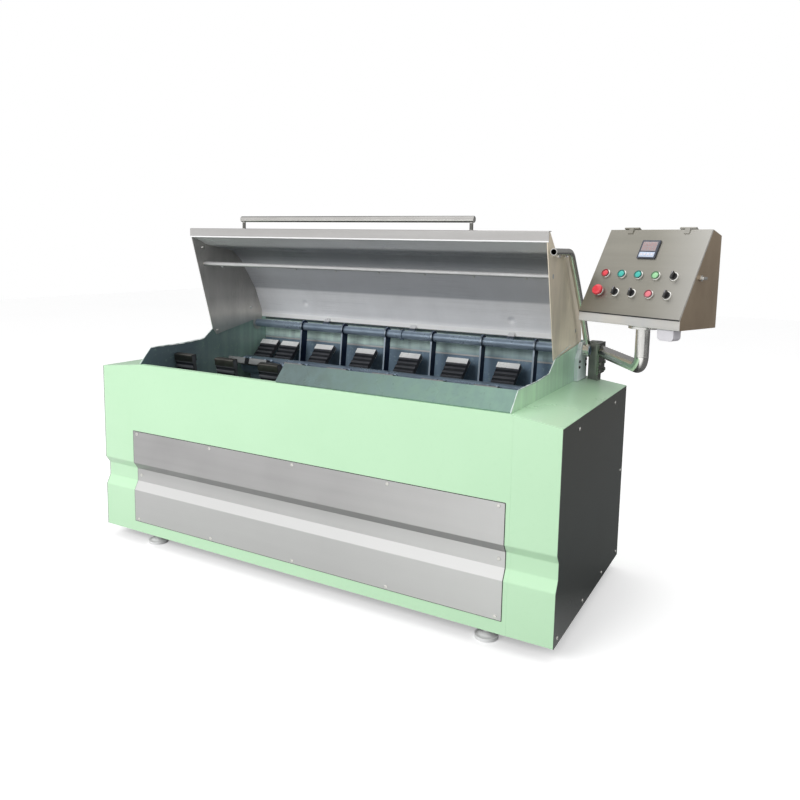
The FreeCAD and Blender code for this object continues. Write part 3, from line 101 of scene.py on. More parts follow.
class Wires:
    """A node tree with short calls for adding and joining nodes."""

    def __init__(self, tree: bpy.types.NodeTree, material: bpy.types.Material | None = None) -> None:
        """Keeps the tree that nodes are added to, and the material that it belongs to."""
        self.tree = tree
        self.material = material

    def add(self, kind: str, **settings: object) -> Node:
        """Adds a node.

        Args:
            kind: Blender's node type name.
            settings: properties of the node, and values or outputs for its inputs by name.
        Returns:
            The new node.
        """
        node = self.tree.nodes.new(kind)
        inputs = {}
        for key, value in settings.items():
            if hasattr(node, key):
                setattr(node, key, value)
            else:
                inputs[key] = value
        self.feed(node, **inputs)
        return node

    def feed(self, node: Node, **settings: object) -> None:
        """Sets inputs of a node by name, with underscores for spaces, or links outputs to them."""
        for key, value in settings.items():
            self.join(value, node.inputs[key.replace("_", " ")])

    def found(self, kind: str) -> Node:
        """The tree's first node of a kind."""
        return next(node for node in self.tree.nodes if node.bl_idname == kind)

    def join(self, value: object, target: Socket) -> None:
        """Links an output to an input, or sets the input to a plain value."""
        if isinstance(value, Socket):
            self.tree.links.new(value, target)
        else:
            target.default_value = value

    def scaled(self, vector: Socket, scale: Triple, turn: Triple = (0.0, 0.0, 0.0)) -> Socket:
        """Vector after a Mapping node with the scale and turn in radians."""
        return self.add("ShaderNodeMapping", Vector=vector, Scale=scale, Rotation=turn).outputs["Vector"]

    def noise(self, vector: Socket, scale: float | Socket, detail: float, roughness: float) -> Socket:
        """Noise value from 0 to 1 at the vector."""
        node = self.add("ShaderNodeTexNoise", Vector=vector, Scale=scale, Detail=detail, Roughness=roughness)
        return node.outputs["Fac"]

    def remap(self, value: Socket, low: float, high: float, to_low: float, to_high: float) -> Socket:
        """Value moved from one range to another and held inside it."""
        node = self.add("ShaderNodeMapRange", Value=value, From_Min=low, From_Max=high, To_Min=to_low,
                        To_Max=to_high)
        return node.outputs["Result"]

    def between(self, value: Socket, first: float, second: float) -> Socket:
        """A value from 0 to 1 spread over the range from first to second."""
        return self.remap(value, 0.0, 1.0, first, second)

    def mixed(self, amount: Socket, first: Triple | Socket, second: Triple | Socket) -> Socket:
        """Colour between two colours by an amount from 0 to 1."""
        node = self.add("ShaderNodeMix", data_type="RGBA")
        self.join(amount, node.inputs[0])
        for socket, colour in ((node.inputs[6], first), (node.inputs[7], second)):
            self.join(colour if isinstance(colour, Socket) else (*colour, 1.0), socket)
        return node.outputs[2]

    def choice(self, amount: Socket, off: Socket, on: Socket) -> Socket:
        """Shader that changes from off to on as the amount goes from 0 to 1."""
        node = self.add("ShaderNodeMixShader")
        for target, output in zip(node.inputs, (amount, off, on)):
            self.join(output, target)
        return node.outputs["Shader"]

    def maths(self, operation: str, first: Socket | float, second: Socket | float) -> Socket:
        """Result of a Math node on two values."""
        node = self.add("ShaderNodeMath", operation=operation)
        for socket, value in zip(node.inputs, (first, second)):
            self.join(value, socket)
        return node.outputs["Value"]


def effect(name: str, inputs: dict[str, float], outputs: list[str]) -> tuple[Wires, Node, Node]:
    """Starts a shader node group for an effect that several finishes share.

    Args:
        name: the group's name.
        inputs: value inputs and their defaults; a Vector input is always there.
        outputs: names of the value outputs.
    Returns:
        The group's wires, its input node and its output node.
    """
    group = bpy.data.node_groups.new(name, "ShaderNodeTree")
    group.interface.new_socket(name="Vector", in_out="INPUT", socket_type="NodeSocketVector")
    for key, value in inputs.items():
        socket = group.interface.new_socket(name=key, in_out="INPUT", socket_type="NodeSocketFloat")
        socket.default_value = value
    for key in outputs:
        group.interface.new_socket(name=key, in_out="OUTPUT", socket_type="NodeSocketFloat")
    wires = Wires(group)
    return wires, wires.add("NodeGroupInput"), wires.add("NodeGroupOutput")


def fine_streaks_group() -> bpy.types.NodeTree:
    """Brushing lines along X: noise drawn out along X, fine for the grain and wide for bands."""
    wires, start, end = effect("fine_streaks", {}, ["Grain", "Bands"])
    vector = start.outputs["Vector"]
    grain = wires.noise(wires.scaled(vector, (3.0, 900.0, 900.0)), 1.0, 3.0, 0.7)
    bands = wires.noise(wires.scaled(vector, (1.1, 34.0, 34.0)), 1.0, 3.0, 0.5)
    wires.feed(end, Grain=grain, Bands=bands)
    return wires.tree


def sized_noise(wires: Wires, start: Node, factor: float, detail: float) -> Socket:
    """Noise in a group, at its Scale input times a factor."""
    scale = wires.maths("MULTIPLY", start.outputs["Scale"], factor)
    return wires.noise(start.outputs["Vector"], scale, detail, 0.5)


def blotches_group() -> bpy.types.NodeTree:
    """Soft uneven patches and finer specks: two noises with their contrast raised."""
    wires, start, end = effect("blotches", {"Scale": 4.0}, ["Patches", "Specks"])
    for key, factor, detail, low, high in (("Patches", 1.0, 5.0, 0.35, 0.72),
                                           ("Specks", 22.0, 2.0, 0.60, 0.78)):
        cloud = sized_noise(wires, start, factor, detail)
        wires.join(wires.remap(cloud, low, high, 0.0, 1.0), end.inputs[key])
    return wires.tree


def dents_group() -> bpy.types.NodeTree:
    """Shallow waviness of thin sheet and the finer ripple of its coating, as heights."""
    wires, start, end = effect("dents", {"Scale": 3.0}, ["Waves", "Ripple"])
    for key, factor in (("Waves", 1.0), ("Ripple", 90.0)):
        wires.join(sized_noise(wires, start, factor, 1.0), end.inputs[key])
    return wires.tree


def runs_group() -> bpy.types.NodeTree:
    """Streaks down a sheet: noise drawn out along Z, with its contrast raised; stains on the walls and the
    hood, painted reflections on the liner, the splash plate and the console's box.
    """
    wires, start, end = effect("runs", {}, ["Runs", "Smears"])
    vector = start.outputs["Vector"]
    runs = wires.noise(wires.scaled(vector, (26.0, 26.0, 1.3)), 1.0, 3.0, 0.6)
    smears = wires.noise(wires.scaled(vector, (9.0, 9.0, 3.5)), 1.0, 4.0, 0.6)
    wires.feed(end, Runs=wires.remap(runs, 0.38, 0.66, 0.0, 1.0),
               Smears=wires.remap(smears, 0.36, 0.70, 0.0, 1.0))
    return wires.tree


EFFECTS: dict[str, bpy.types.NodeTree] = {
    "runs": runs_group(),
    "streaks": fine_streaks_group(),
    "blotches": blotches_group(),
    "dents": dents_group(),
}


class Source(Enum):
    """What a change of colour follows: a place on an axis, or the way the surface faces."""

    PLACE_X = ("Object", 0)
    PLACE_Y = ("Object", 1)
    PLACE_Z = ("Object", 2)
    FACING_X = ("Normal", 0)
    FACING_Y = ("Normal", 1)
    FACING_Z = ("Normal", 2)


@dataclass(frozen=True)
class Fade:
    """A second colour that comes in between two places in metres, or between two facings."""

    source: Source
    start: float
    end: float
    colour: Triple
    amount: float = 1.0
    stir: float = 0.0


class Lie(Enum):
    """Which way a brushed sheet's grain runs."""

    ALONG_X = (0.0, 0.0, 0.0)
    ALONG_Z = (0.0, math.pi / 2, 0.0)
    ALONG_CONSOLE = (0.0, 0.0, math.radians(22.8))


def start_material(name: str) -> tuple[Wires, Node, Socket]:
    """Starts a material with a Principled shader.

    Args:
        name: the material's name.
    Returns:
        Its wires, the shader and the Object coordinates.
    """
    material = bpy.data.materials.new(name)
    material.use_nodes = True
    material.node_tree.nodes.clear()
    wires = Wires(material.node_tree, material)
    shader = wires.add("ShaderNodeBsdfPrincipled")
    wires.add("ShaderNodeOutputMaterial", Surface=shader.outputs["BSDF"])
    coordinates = wires.add("ShaderNodeTexCoord")
    return wires, shader, coordinates.outputs["Object"]


def faded(wires: Wires, colour: Socket, fades: tuple[Fade, ...]) -> Socket:
    """A colour after its fades, each with an edge that coarse noise moves by up to its stir.

    Args:
        wires: the material's wires.
        colour: the colour before.
        fades: the changes, first to last.
    Returns:
        The colour after.
    """
    coordinates = wires.found("ShaderNodeTexCoord")
    for fade in fades:
        output, axis = fade.source.value
        place = wires.add("ShaderNodeSeparateXYZ", Vector=coordinates.outputs[output]).outputs[axis]
        if fade.stir:
            cloud = wires.noise(coordinates.outputs["Object"], 5.0, 3.0, 0.55)
            place = wires.maths("ADD", place, wires.remap(cloud, 0.25, 0.75, -fade.stir, fade.stir))
        amount = wires.remap(place, fade.start, fade.end, 0.0, fade.amount)
        colour = wires.mixed(amount, colour, fade.colour)
    return colour


def placed(wires: Wires, key: str, vector: Socket, **values: float) -> Node:
    """Places a shared effect in a material.

    Args:
        wires: the material's wires.
        key: which effect.
        vector: the coordinates it reads.
        values: its other inputs.
    Returns:
        The group node.
    """
    node = wires.add("ShaderNodeGroup", node_tree=EFFECTS[key])
    wires.feed(node, Vector=vector, **values)
    return node


def bumped(wires: Wires, shader: Node, heights: list[tuple[Socket, float, float]]) -> None:
    """Feeds the shader's normal with heights, each with its strength and its depth in metres."""
    under = {}
    for height, strength, depth in heights:
        bump = wires.add("ShaderNodeBump", Strength=strength, Distance=depth, Height=height, **under)
        under = {"Normal": bump.outputs["Normal"]}
    wires.feed(shader, **under)


def uneven(wires: Wires, vector: Socket, colours: tuple[Triple | Socket, Triple], scale: float,
           amount: float) -> tuple[Node, Socket]:
    """A colour that shifts towards a second one in patches.

    Args:
        wires: the material's wires.
        vector: the coordinates.
        colours: the colour and the patches' colour.
        scale: how fine the patches are.
        amount: how far they shift.
    Returns:
        The soil, which also gives the roughness, and the colour.
    """
    soil = placed(wires, "blotches", vector, Scale=scale)
    return soil, wires.mixed(wires.between(soil.outputs["Patches"], 0.0, amount), *colours)


def rippled(wires: Wires, shader: Node, scale: float, strength: float, depth: float) -> None:
    """Gives the shader the ripple of its coating, by its scale, strength and depth in metres."""
    vector = wires.found("ShaderNodeTexCoord").outputs["Object"]
    dents = placed(wires, "dents", vector, Scale=scale)
    bumped(wires, shader, [(dents.outputs["Ripple"], strength, depth)])


# Finishes

@dataclass(frozen=True)
class Paint:
    """Sprayed machine paint with a clear gloss, faint patches, streaks that run down and a slight ripple; the
    streaks are stains on the walls and painted reflections on the liner and the splash plate.
    """

    name: str
    colour: Triple
    worn: Triple
    roughness: float = 0.32
    coat: float = 0.35
    patches: float = 0.35
    waves: float = 0.5
    fades: tuple[Fade, ...] = ()
    runs: float = 0.0
    run_colour: Triple = (0.10, 0.14, 0.18)

    def material(self) -> bpy.types.Material:
        """Builds the paint."""
        wires, shader, vector = start_material(self.name)
        soil, colour = uneven(wires, vector, (self.colour, self.worn), 3.0, self.patches)
        colour = faded(wires, colour, self.fades)
        if self.runs:
            stains = placed(wires, "runs", vector)
            stained = wires.between(stains.outputs["Runs"], 0.0, self.runs)
            colour = wires.mixed(stained, colour, self.run_colour)
        specks = wires.between(soil.outputs["Specks"], 0.0, 0.20)
        rough = wires.between(soil.outputs["Patches"], self.roughness, self.roughness + 0.10)
        wires.feed(shader, Base_Color=wires.mixed(specks, colour, self.worn), Roughness=rough,
                   Coat_Weight=self.coat, Coat_Roughness=0.12)
        dents = placed(wires, "dents", vector, Scale=2.6)
        bumped(wires, shader, [(dents.outputs["Waves"], self.waves, 0.010),
                               (dents.outputs["Ripple"], 0.08, 0.0006)])
        return wires.material


@dataclass(frozen=True)
class Brushed:
    """Brushed stainless sheet with grain, wider bands, smears, handling marks and shallow dents."""

    name: str
    colour: Triple
    dull: Triple
    lie: Lie = Lie.ALONG_X
    roughness: float = 0.34
    marks: float = 0.25
    waves: float = 0.35
    fades: tuple[Fade, ...] = ()
    smears: float = 0.0
    smear_colour: Triple = (0.16, 0.15, 0.14)
    metallic: float = 1.0

    def material(self) -> bpy.types.Material:
        """Builds the brushed steel."""
        wires, shader, vector = start_material(self.name)
        streaks = placed(wires, "streaks", wires.scaled(vector, (1.0, 1.0, 1.0), self.lie.value))
        bands = wires.remap(streaks.outputs["Bands"], 0.35, 0.65, 0.0, 0.35)
        banded = wires.mixed(bands, self.colour, self.dull)
        soil, colour = uneven(wires, vector, (banded, self.dull), 5.0, self.marks)
        colour = faded(wires, colour, self.fades)
        if self.smears:
            stains = placed(wires, "runs", vector)
            amount = wires.between(stains.outputs["Smears"], 0.0, self.smears)
            colour = wires.mixed(amount, colour, self.smear_colour)
        grain = wires.remap(streaks.outputs["Grain"], 0.3, 0.7, self.roughness - 0.06, self.roughness + 0.06)
        rough = wires.maths("ADD", grain, wires.between(soil.outputs["Patches"], 0.0, 0.08))
        wires.feed(shader, Base_Color=colour, Roughness=rough, Metallic=self.metallic)
        dents = placed(wires, "dents", vector, Scale=2.2)
        bumped(wires, shader, [(dents.outputs["Waves"], self.waves, 0.008),
                               (streaks.outputs["Grain"], 0.10, 0.0002)])
        return wires.material


@dataclass(frozen=True)
class Bright:
    """Polished or plated metal with light handling marks."""

    name: str
    colour: Triple
    dull: Triple
    roughness: float = 0.16
    marks: float = 0.35
    fades: tuple[Fade, ...] = ()
    metallic: float = 1.0

    def material(self) -> bpy.types.Material:
        """Builds the bright metal."""
        wires, shader, vector = start_material(self.name)
        soil, colour = uneven(wires, vector, (self.colour, self.dull), 14.0, self.marks)
        rough = wires.between(soil.outputs["Patches"], self.roughness, self.roughness + 0.14)
        wires.feed(shader, Base_Color=faded(wires, colour, self.fades), Roughness=rough,
                   Metallic=self.metallic)
        rippled(wires, shader, 9.0, 0.10, 0.0003)
        return wires.material


@dataclass(frozen=True)
class Rubber:
    """Matt black rubber in dusty patches, with painted shade in its grooves when a groove shade colour is
    given.
    """

    name: str
    colour: Triple
    dusty: Triple
    roughness: float = 0.55
    groove_shade: Triple | None = None

    def material(self) -> bpy.types.Material:
        """Builds the rubber, with painted shade where the mesh's groove attribute says."""
        wires, shader, vector = start_material(self.name)
        soil, colour = uneven(wires, vector, (self.colour, self.dusty), 16.0, 0.6)
        if self.groove_shade:
            depth = wires.add("ShaderNodeAttribute", attribute_name="groove")
            colour = wires.mixed(wires.remap(depth.outputs["Fac"], 0.1, 0.8, 0.0, 0.95), colour, self.groove_shade)
        rough = wires.between(soil.outputs["Specks"], self.roughness, self.roughness + 0.2)
        wires.feed(shader, Base_Color=colour, Roughness=rough)
        rippled(wires, shader, 12.0, 0.25, 0.0008)
        return wires.material


@dataclass(frozen=True)
class Plastic:
    """Moulded plastic with a fine skin."""

    name: str
    colour: Triple
    shade: Triple
    roughness: float = 0.25
    coat: float = 0.4

    def material(self) -> bpy.types.Material:
        """Builds the plastic."""
        wires, shader, vector = start_material(self.name)
        soil, colour = uneven(wires, vector, (self.colour, self.shade), 40.0, 0.35)
        rough = wires.between(soil.outputs["Specks"], self.roughness, self.roughness + 0.12)
        wires.feed(shader, Base_Color=colour, Roughness=rough, Coat_Weight=self.coat, Coat_Roughness=0.06)
        rippled(wires, shader, 30.0, 0.06, 0.0002)
        return wires.material


LEFT_WALL, RIGHT_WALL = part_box("left_trough_wall"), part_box("right_trough_wall")
HOOD = joint_place("hood_hinge")
HAIR = 0.0006
MINT = ((0.58, 0.87, 0.585), (0.51, 0.80, 0.52))
# Painted shade for the end walls' inner faces, and the lighter painted green that they take on towards the
# back.
INNER_WALL_SHADE, SEA_GREEN = (0.105, 0.150, 0.170), (0.36, 0.54, 0.46)
# Painted shade for the comb ribs' sides and a painted highlight for their front edges.
RIB_SIDE_SHADE, RIB_EDGE_HIGHLIGHT = (0.022, 0.034, 0.075), (0.46, 0.54, 0.62)
# Painted shade and light on the end walls: dark slate on their inner faces, lighter sea green towards the
# back.
WALL_SHADING = {
    "left": (Fade(Source.PLACE_X, LEFT_WALL[0].x + HAIR, LEFT_WALL[1].x - HAIR, INNER_WALL_SHADE),
             Fade(Source.PLACE_Y, -0.15, 0.32, SEA_GREEN, 0.9, 0.05)),
    "right": (Fade(Source.PLACE_X, RIGHT_WALL[1].x - HAIR, RIGHT_WALL[0].x + HAIR, INNER_WALL_SHADE, 0.8),
              Fade(Source.PLACE_Y, -0.30, 0.35, SEA_GREEN, 0.75, 0.08)),
}
LENS_COLOURS = {
    "red_plastic": ((0.74, 0.05, 0.07), (0.55, 0.03, 0.04)),
    "pink_plastic": ((0.80, 0.20, 0.24), (0.66, 0.14, 0.18)),
    "teal_plastic": ((0.05, 0.50, 0.43), (0.03, 0.36, 0.31)),
    "green_plastic": ((0.34, 0.68, 0.36), (0.24, 0.54, 0.27)),
}
FINISHES = {
    "green_paint": Paint("mint_green_paint", *MINT, patches=0.22),
    # End walls: painted shade on their inner faces and painted light towards the back, with stains that ran
    # down.
    "left_wall_paint": Paint("left_wall_paint", *MINT, patches=0.22, fades=WALL_SHADING["left"], runs=0.35),
    "right_wall_paint": Paint("right_wall_paint", *MINT, patches=0.4, fades=WALL_SHADING["right"], runs=0.25),
    # Decks: darker towards the back, a painted shade.
    "deck_paint": Paint("deck_paint", (0.59, 0.87, 0.60), (0.50, 0.77, 0.52), 0.26, 0.5, 0.6,
                        fades=(Fade(Source.PLACE_Y, 0.05, 0.50, (0.44, 0.64, 0.47), 0.85, 0.08),)),
    # Splash plate: its dark green is painted shade, it turns lighter to the right as painted light, and its
    # runs are painted reflections of the ribs.
    "apron_paint": Paint("splash_plate_paint", (0.082, 0.125, 0.118), (0.065, 0.10, 0.097), 0.24, 0.4, 0.5,
                         fades=(Fade(Source.PLACE_X, -0.15, 0.60, (0.20, 0.34, 0.27), 0.95, 0.1),), runs=0.35,
                         run_colour=(0.13, 0.21, 0.22)),
    # Rear liner: dark blue below about 0.86 m and bluer to the right as painted shade and reflection, near
    # black above about 0.94 m as a painted shadow, and its runs are painted reflections.
    "liner_paint": Paint("liner_painted_shade", (0.76, 0.95, 0.86), (0.55, 0.74, 0.69), 0.20, 0.4, 0.4, 0.7,
                         (Fade(Source.PLACE_Z, 0.868, 0.842, (0.095, 0.140, 0.210), 0.92, 0.010),
                          Fade(Source.PLACE_X, -0.55, 0.45, (0.16, 0.24, 0.34), 0.50, 0.1),
                          Fade(Source.PLACE_Z, 0.935, 0.941, (0.015, 0.022, 0.024), 0.92)), 0.35),
    # Dark end paint, lighter and warmer towards the top as a painted sheen.
    "dark_paint": Paint("dark_end_paint", (0.036, 0.045, 0.042), (0.050, 0.055, 0.050), 0.18, 0.4, 0.5, 0.10,
                        (Fade(Source.PLACE_Z, 0.35, 0.75, (0.058, 0.060, 0.051), 0.8, 0.05),)),
    "brushed_stainless": Brushed("brushed_sheet", (0.58, 0.57, 0.56), (0.46, 0.45, 0.44)),
    # Service panel: paler low down and to the right, darker where its pressed folds face down and paler where
    # they face up: painted shade and highlights.
    "service_sheet": Brushed("service_panel_sheet", (0.40, 0.394, 0.394), (0.33, 0.325, 0.325), metallic=0.75,
                             fades=(Fade(Source.PLACE_Z, 0.36, 0.30, (0.56, 0.56, 0.555), 0.6),
                                    Fade(Source.PLACE_X, 0.0, 0.85, (0.62, 0.62, 0.61), 0.8, 0.1),
                                    Fade(Source.FACING_Z, -0.12, -0.5, (0.24, 0.24, 0.24), 0.8),
                                    Fade(Source.FACING_Z, 0.12, 0.5, (0.92, 0.92, 0.91), 0.65))),
    # Hood sheet: near white low down, with painted shade and light in bands by height above the hinge: grey
    # from 0.18 m, dark from 0.33 m and pale from 0.39 m; its smears are stains.
    "hood_sheet": Brushed("hood_inner_sheet", (0.95, 0.955, 0.98), (0.82, 0.825, 0.85),
                          roughness=0.28, smears=0.12, smear_colour=(0.4, 0.4, 0.4), metallic=0.05,
                          fades=(Fade(Source.PLACE_Z, HOOD[2] + 0.176, HOOD[2] + 0.186, (0.58, 0.59, 0.62)),
                                 Fade(Source.PLACE_Z, HOOD[2] + 0.305, HOOD[2] + 0.345, (0.29, 0.30, 0.315)),
                                 Fade(Source.PLACE_Z, HOOD[2] + 0.384, HOOD[2] + 0.392, (0.80, 0.80, 0.80)))),
    # Near-white hem and rail lip: a painted highlight along their lit lower edges.
    "hood_hem": Brushed("hood_hem", (0.98, 0.98, 0.98), (0.92, 0.92, 0.92),
                        roughness=0.30, marks=0.1, metallic=0.1),
    # Left end plate: a lighter band low down is a painted highlight, and it turns greyer green at its lower
    # edge.
    "left_plate_sheet": Brushed("hood_left_sheet", (0.50, 0.485, 0.465), (0.38, 0.37, 0.355),
                                Lie.ALONG_Z, 0.30, smears=0.3, metallic=0.4,
                                fades=(Fade(Source.PLACE_Z, HOOD[2] + 0.14, HOOD[2] + 0.07,
                                            (0.90, 0.86, 0.80), 0.7),
                                       Fade(Source.PLACE_Z, HOOD[2] + 0.06, HOOD[2],
                                            (0.40, 0.43, 0.42), 0.9))),
    "right_plate_sheet": Brushed("hood_right_sheet", (0.95, 0.85, 0.68), (0.76, 0.67, 0.54),
                                 Lie.ALONG_Z, 0.36, smears=0.3, metallic=0.2),
    # Console door: paler towards its right end, a painted sheen.
    "console_stainless": Brushed("console_sheet", (0.36, 0.345, 0.30), (0.28, 0.27, 0.235),
                                 Lie.ALONG_CONSOLE, 0.36,
                                 fades=(Fade(Source.PLACE_X, 1.02, 1.20, (0.52, 0.51, 0.48), 0.85, 0.02),)),
    # Console box: the warm smears and the brown of its right-facing side are painted reflections.
    "console_box": Brushed("console_box_sheet", (0.58, 0.58, 0.57), (0.48, 0.48, 0.47),
                           Lie.ALONG_CONSOLE, 0.30, smears=0.22, smear_colour=(0.80, 0.68, 0.50),
                           metallic=0.7, fades=(Fade(Source.FACING_X, 0.6, 0.9, (0.40, 0.30, 0.20), 0.9),)),
    "bright_tube": Bright("bright_tube", (0.72, 0.71, 0.68), (0.50, 0.49, 0.46), 0.10),
    "console_pipe": Bright("console_pipe", (0.86, 0.85, 0.82), (0.60, 0.59, 0.56), 0.14,
                           fades=(Fade(Source.PLACE_X, CORNER.x + 2.0045, CORNER.x + 1.9995,
                                       (0.16, 0.17, 0.15), 0.95),)),
    # Handle: darker where it faces up and down, painted shade that leaves only its sides lit, and dark below
    # 1.418 m.
    "handle_tube": Bright("handle_tube", (0.58, 0.57, 0.55), (0.42, 0.41, 0.39), 0.12,
                          fades=(Fade(Source.FACING_Z, 0.60, 0.92, (0.14, 0.14, 0.13), 0.85),
                                 Fade(Source.FACING_Z, -0.35, -0.80, (0.10, 0.10, 0.09), 0.9),
                                 Fade(Source.PLACE_Z, 1.420, 1.416, (0.12, 0.12, 0.11), 0.9))),
    "satin_tube": Bright("satin_water_pipe", (0.58, 0.58, 0.58), (0.46, 0.46, 0.46), 0.36, metallic=0.6),
    "blue_grey_steel": Bright("blue_grey_steel", (0.30, 0.38, 0.47), (0.17, 0.22, 0.30), 0.26, 0.6,
                              metallic=0.7),
    # Hood shaft: dark above about 0.946 m, a painted shadow under the hood's hem, and near white above about
    # 0.956 m, a painted highlight.
    "shaft_steel": Bright("hood_shaft_steel", (0.32, 0.40, 0.49), (0.19, 0.25, 0.33), 0.26, 0.6,
                          (Fade(Source.PLACE_Z, 0.944, 0.948, (0.05, 0.06, 0.08), 0.9),
                           Fade(Source.PLACE_Z, 0.954, 0.957, (0.85, 0.85, 0.86), 0.95)), 0.5),
    # Comb ribs: painted shade on the sides that face along X, and a painted highlight on their front edges.
    "rib_steel": Bright("comb_rib_steel", (0.13, 0.18, 0.27), (0.08, 0.12, 0.18), 0.34, 0.5,
                        (Fade(Source.FACING_X, 0.45, 0.8, RIB_SIDE_SHADE), Fade(Source.FACING_X, -0.45, -0.8, RIB_SIDE_SHADE),
                         Fade(Source.FACING_Y, -0.45, -0.8, RIB_EDGE_HIGHLIGHT))),
    "bracket_paint": Paint("pale_blue_paint", (0.86, 0.93, 0.97), (0.74, 0.82, 0.87)),
    "arm_bracket_steel": Bright("arm_bracket_steel", (0.26, 0.27, 0.25), (0.10, 0.10, 0.10), 0.34, 0.6),
    "zinc_hardware": Bright("plated_hardware", (0.74, 0.73, 0.70), (0.50, 0.49, 0.46), 0.20),
    "black_bolts": Bright("blackened_bolts", (0.05, 0.05, 0.05), (0.02, 0.02, 0.02), 0.35),
    # Rear claws: near-white worn steel that is partly a painted highlight, painted shade on the sides that
    # face +X, and darker on the row that lies nearest the front at rest.
    "claw_steel": Bright("worn_claw_steel_painted_light", (0.98, 0.98, 0.97), (0.60, 0.60, 0.59), 0.24, 0.4,
                         (Fade(Source.FACING_X, 0.4, 0.7, (0.06, 0.06, 0.06)),
                          Fade(Source.PLACE_Y, 0.24, 0.16, (0.12, 0.13, 0.13), 0.85)), 0.25),
    "dull_claw_steel": Bright("dull_claw_steel", (0.15, 0.145, 0.13), (0.05, 0.05, 0.05), 0.32, 0.8),
    # Paddles: their grooves are darkened as painted shade.
    "paddle_rubber": Rubber("paddle_rubber", (0.042, 0.045, 0.052), (0.085, 0.088, 0.096),
                            groove_shade=(0.004, 0.005, 0.008)),
    "cast_housing": Paint("bearing_paint", (0.06, 0.08, 0.09), (0.03, 0.04, 0.04), 0.45, 0.1),
    "motor_paint": Paint("motor_paint", (0.05, 0.10, 0.16), (0.03, 0.05, 0.07), 0.4, 0.2),
    "chain_steel": Bright("oiled_chain_steel", (0.20, 0.19, 0.17), (0.06, 0.055, 0.05), 0.35, 0.7),
    "sealant": Plastic("wall_sealant", (0.72, 0.82, 0.78), (0.52, 0.66, 0.60), 0.35),
    "foot_plastic": Plastic("foot_pad", (0.95, 0.96, 0.95), (0.86, 0.88, 0.86), 0.45, 0.1),
    # Near-black strips that stand in for shadow gaps: painted shadow.
    "shadow_gap_rubber": Rubber("lid_shadow_gap_bead", (0.012, 0.012, 0.013), (0.03, 0.03, 0.03)),
    "meter_glass": Plastic("meter_window_glass", (0.34, 0.29, 0.30), (0.28, 0.24, 0.25), 0.15, 0.5),
    "meter_keys": Plastic("meter_key_strip", (0.56, 0.64, 0.78), (0.47, 0.55, 0.68), 0.4, 0.1),
    "lit_figures": Plastic("lit_red_figures", (0.50, 0.22, 0.20), (0.42, 0.18, 0.16), 0.35, 0.1),
    "pale_plastic": Plastic("pale_moulding", (0.74, 0.72, 0.76), (0.62, 0.60, 0.65), 0.35),
    "display_plastic": Plastic("meter_plastic", (0.045, 0.052, 0.075), (0.03, 0.035, 0.05), 0.3),
    "black_plastic": Plastic("black_knob_plastic", (0.016, 0.016, 0.018), (0.04, 0.04, 0.04), 0.3),
}
for lens, (bright, deep) in LENS_COLOURS.items():
    sleeve = lens + "_sleeve"
    FINISHES[lens] = Plastic(lens, bright, deep, 0.22)
    FINISHES[sleeve] = Plastic(sleeve, tuple(0.30 * c for c in bright), tuple(0.2 * c for c in deep))
MATERIALS: dict[str, bpy.types.Material] = {}


def finish(key: str) -> bpy.types.Material:
    """The material of a finish, built the first time it is asked for."""
    if key not in MATERIALS:
        MATERIALS[key] = FINISHES[key].material()
    return MATERIALS[key]


# Mesh helpers

SHARP_FOLD = math.radians(32.0)


def make_piece(name: str, points: np.ndarray, faces: np.ndarray | list, smooth: bool = True,
               groove: np.ndarray | None = None) -> Piece:
    """Makes an object from points and faces, with double points merged and faces turned outwards.

    Args:
        name: the object's name.
        points: (n, 3) places in metres.
        faces: rows of point indices.
        smooth: whether its faces are shaded smooth.
        groove: how deep in a groove each point lies, from 0 to 1, kept as the mesh's groove attribute.
    Returns:
        The object, linked to the scene, at the origin.
    """
    mesh = bpy.data.meshes.new(name)
    places = np.asarray(points, float).reshape(-1, 3).tolist()
    mesh.from_pydata(places, [], [list(map(int, face)) for face in faces])
    mesh.update()
    if groove is not None:
        mesh.attributes.new("groove", "FLOAT", "POINT").data.foreach_set("value", groove.astype(np.float32))
    shaped = bmesh.new()
    shaped.from_mesh(mesh)
    bmesh.ops.remove_doubles(shaped, verts=shaped.verts, dist=2e-6)
    bmesh.ops.recalc_face_normals(shaped, faces=shaped.faces)
    shaped.to_mesh(mesh)
    shaped.free()
    if smooth:
        mesh.shade_smooth()
        mesh.set_sharp_from_angle(angle=SHARP_FOLD)
    piece = bpy.data.objects.new(name, mesh)
    bpy.context.scene.collection.objects.link(piece)
    return piece


def grid_faces(rows: int, columns: int, loop: bool) -> np.ndarray:
    """Quads of a rows by columns grid of points; with loop the last column meets the first.

    Returns:
        (quads, 4) point indices.
    """
    across = columns if loop else columns - 1
    r, c = np.meshgrid(np.arange(rows - 1), np.arange(across), indexing="ij")
    r, c = r.ravel(), c.ravel()
    n = (c + 1) % columns
    return np.stack([r * columns + c, r * columns + n, (r + 1) * columns + n, (r + 1) * columns + c], 1)


def turned_profile(profile: list[tuple[float, float]], segments: int = 32) -> Shape:
    """Surface of revolution about Z: a profile of (radius, height) pairs turned a full circle.

    Returns:
        Points and quads; a profile that starts and ends on the axis closes.
    """
    radius, height = np.array(profile, float).T
    angle = np.linspace(0.0, 2 * math.pi, segments, endpoint=False)
    points = np.stack([radius[:, None] * np.cos(angle), radius[:, None] * np.sin(angle),
                       np.repeat(height[:, None], segments, 1)], 2)
    return points.reshape(-1, 3), grid_faces(len(profile), segments, True)


